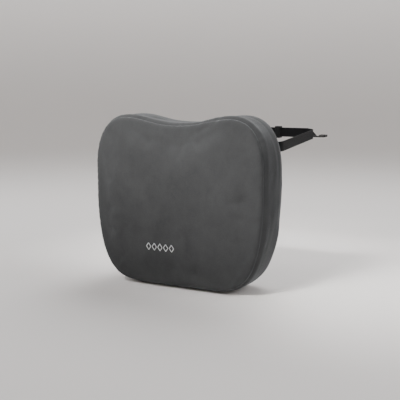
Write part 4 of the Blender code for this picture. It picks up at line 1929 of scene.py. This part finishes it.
@dataclass
class Studio:
    """Pale round backdrop, soft lights, and the camera at the photograph's angle."""

    floor: str = "#d9d6d4"
    centre: tuple[float, float, float] = (0.0, 0.0, 0.127)
    azimuth: float = 28.13
    elevation: float = 8.58
    distance: float = 1.1176
    lens: float = 67.13
    shift: tuple[float, float] = (0.0267, -0.0015)
    lights: tuple[Softbox, ...] = (
        Softbox(-20, 42, 0.9, 0.7, 1.15, "#fffdfa", aim=(0.03, -0.05, 0.205), height=0.12, spread=25),
        Softbox(-88, 22, 1.5, 0.9, 6, "#f8faff"),
        Softbox(104, 28, 1.6, 1.0, 7, "#f8faff"),
        Softbox(190, 58, 1.5, 1.0, 18),
    )
    sky: str = "#f3f4f5"
    sky_strength: float = 0.39
    glow: float = 1.0

    @staticmethod
    def direction(azimuth: float, elevation: float) -> Vector:
        """Direction from the pillow towards a point of view.

        Args:
            azimuth: degrees round the pillow, from the front.
            elevation: degrees above the level.

        Returns:
            A unit direction.
        """
        a, e = math.radians(azimuth), math.radians(elevation)
        return Vector((math.sin(a) * math.cos(e), -math.cos(a) * math.cos(e), math.sin(e)))

    def build(self) -> None:
        """Build the backdrop, lights and camera."""
        self.backdrop()
        middle = Vector(self.centre)
        for number, box in enumerate(self.lights):
            lamp = bpy.data.lights.new(f"softbox_{number}", "AREA")
            lamp.shape = "RECTANGLE" if box.height else "DISK"
            lamp.size = box.size
            lamp.size_y = box.height
            lamp.energy = box.power
            lamp.color = linear(box.tint)[:3]
            lamp.spread = math.radians(box.spread)
            holder = bpy.data.objects.new(lamp.name, lamp)
            towards = self.direction(box.azimuth, box.elevation)
            holder.location = Vector(box.aim) + towards * box.distance
            holder.rotation_euler = towards.to_track_quat("Z", "Y").to_euler()
            bpy.context.scene.collection.objects.link(holder)
        world = bpy.data.worlds.new("studio")
        world.use_nodes = True
        sky = world.node_tree.nodes["Background"]
        sky.inputs["Color"].default_value = linear(self.sky)
        sky.inputs["Strength"].default_value = self.sky_strength
        bpy.context.scene.world = world
        camera = bpy.data.cameras.new("camera")
        camera.lens = self.lens
        camera.sensor_width = 36
        camera.shift_x, camera.shift_y = self.shift
        camera.clip_start, camera.clip_end = 0.01, 50
        holder = bpy.data.objects.new("camera", camera)
        back = self.direction(self.azimuth, self.elevation)
        holder.location = middle + back * self.distance
        holder.rotation_euler = (-back).to_track_quat("-Z", "Y").to_euler()
        bpy.context.scene.collection.objects.link(holder)
        bpy.context.scene.camera = holder

    def backdrop(self) -> None:
        """A round paper backdrop that curves up from the floor."""
        profile = [(0.02, 0.0), (0.5, 0.0), (1.2, 0.0), (2.4, 0.0)]
        profile += [
            (2.4 + 0.9 * math.sin(a), 0.9 - 0.9 * math.cos(a)) for a in np.linspace(0, math.pi / 2, 13)[1:]
        ]
        profile.append((3.3, 3.2))
        count = 96
        points = [
            (r * math.cos(2 * math.pi * turn / count), r * math.sin(2 * math.pi * turn / count), z)
            for r, z in profile for turn in range(count)
        ]
        faces = [
            (row * count + turn, (row + 1) * count + turn,
             (row + 1) * count + (turn + 1) % count, row * count + (turn + 1) % count)
            for row in range(len(profile) - 1) for turn in range(count)
        ]
        faces.append(tuple(range(count)))
        piece = mesh_piece("backdrop", points, faces)
        material, tree, shader = new_material("matt_backdrop_paper")
        place = add_node(tree, "ShaderNodeTexCoord").outputs["Object"]
        tooth = add_node(tree, "ShaderNodeTexNoise", values={"Scale": 3.0, "Detail": 2.0}, links={"Vector": place})
        pale = linear(self.floor)
        low = tuple(0.97 * part for part in pale[:3]) + (1.0,)
        colour = add_node(
            tree, "ShaderNodeMix", {"data_type": "RGBA"}, {6: low, 7: pale}, {0: tooth.outputs["Fac"]}
        )
        parts = add_node(tree, "ShaderNodeSeparateXYZ", links={"Vector": place})
        lit = add_node(
            tree, "ShaderNodeMapRange", {"interpolation_type": "SMOOTHSTEP"},
            {"From Min": 0.0, "From Max": 1.6, "To Max": self.glow}, {"Value": parts.outputs["Z"]},
        )
        links = {"Base Color": colour.outputs[2], "Emission Strength": lit.outputs[0]}
        plug_in(tree, shader, {"Emission Color": pale, "Roughness": 0.9}, links)
        piece.data.materials.append(material)


def main() -> None:
    """Build the studio, then the pillow from core to strap."""
    logging.basicConfig(level=logging.INFO, format="%(name)s: %(message)s")
    Studio().build()
    form = PillowForm()
    suede = BrushedSuede()
    # The side band's suede is a darker copy of the front's: painted shade, where the side turns from the light; it
    # is also a little less silky
    cross = BrushedSuede("brushed_polyester_suede_painted_shade", shade="#313233", light="#3c3d3e", sheen=0.3)
    silver = Needlework(SpunThread("silver_embroidery_thread", suede.slot, "#b9bcbd"))
    black = Needlework(SpunThread("black_sewing_thread", "black_webbing", "#1f2022"), radius=0.3 * MM)
    web = WovenTape("woven_black_webbing", "black_webbing", "#08080a", "#17181a")
    nylon = MouldedPlastic("nylon_zip_coil", "zip_nylon", "#1c1d1f", "#2a2b2e", roughness=0.45)
    cover = PillowCover(form, Inflation(), suede, cross, BackingKnit())
    cage = cover.inflated()
    FoamCore(OpenFoam()).build(cage)
    panels = cover.build(cage)
    DiamondRow(panels[Panel.FRONT], silver).build()
    Zip(nylon, FlatCloth(), LacqueredZinc(), black).build(panels[Panel.BACK])
    Strap(web, suede, black).build()
    Hardware(MouldedPlastic()).build()


if __name__ == "__main__":
    main()
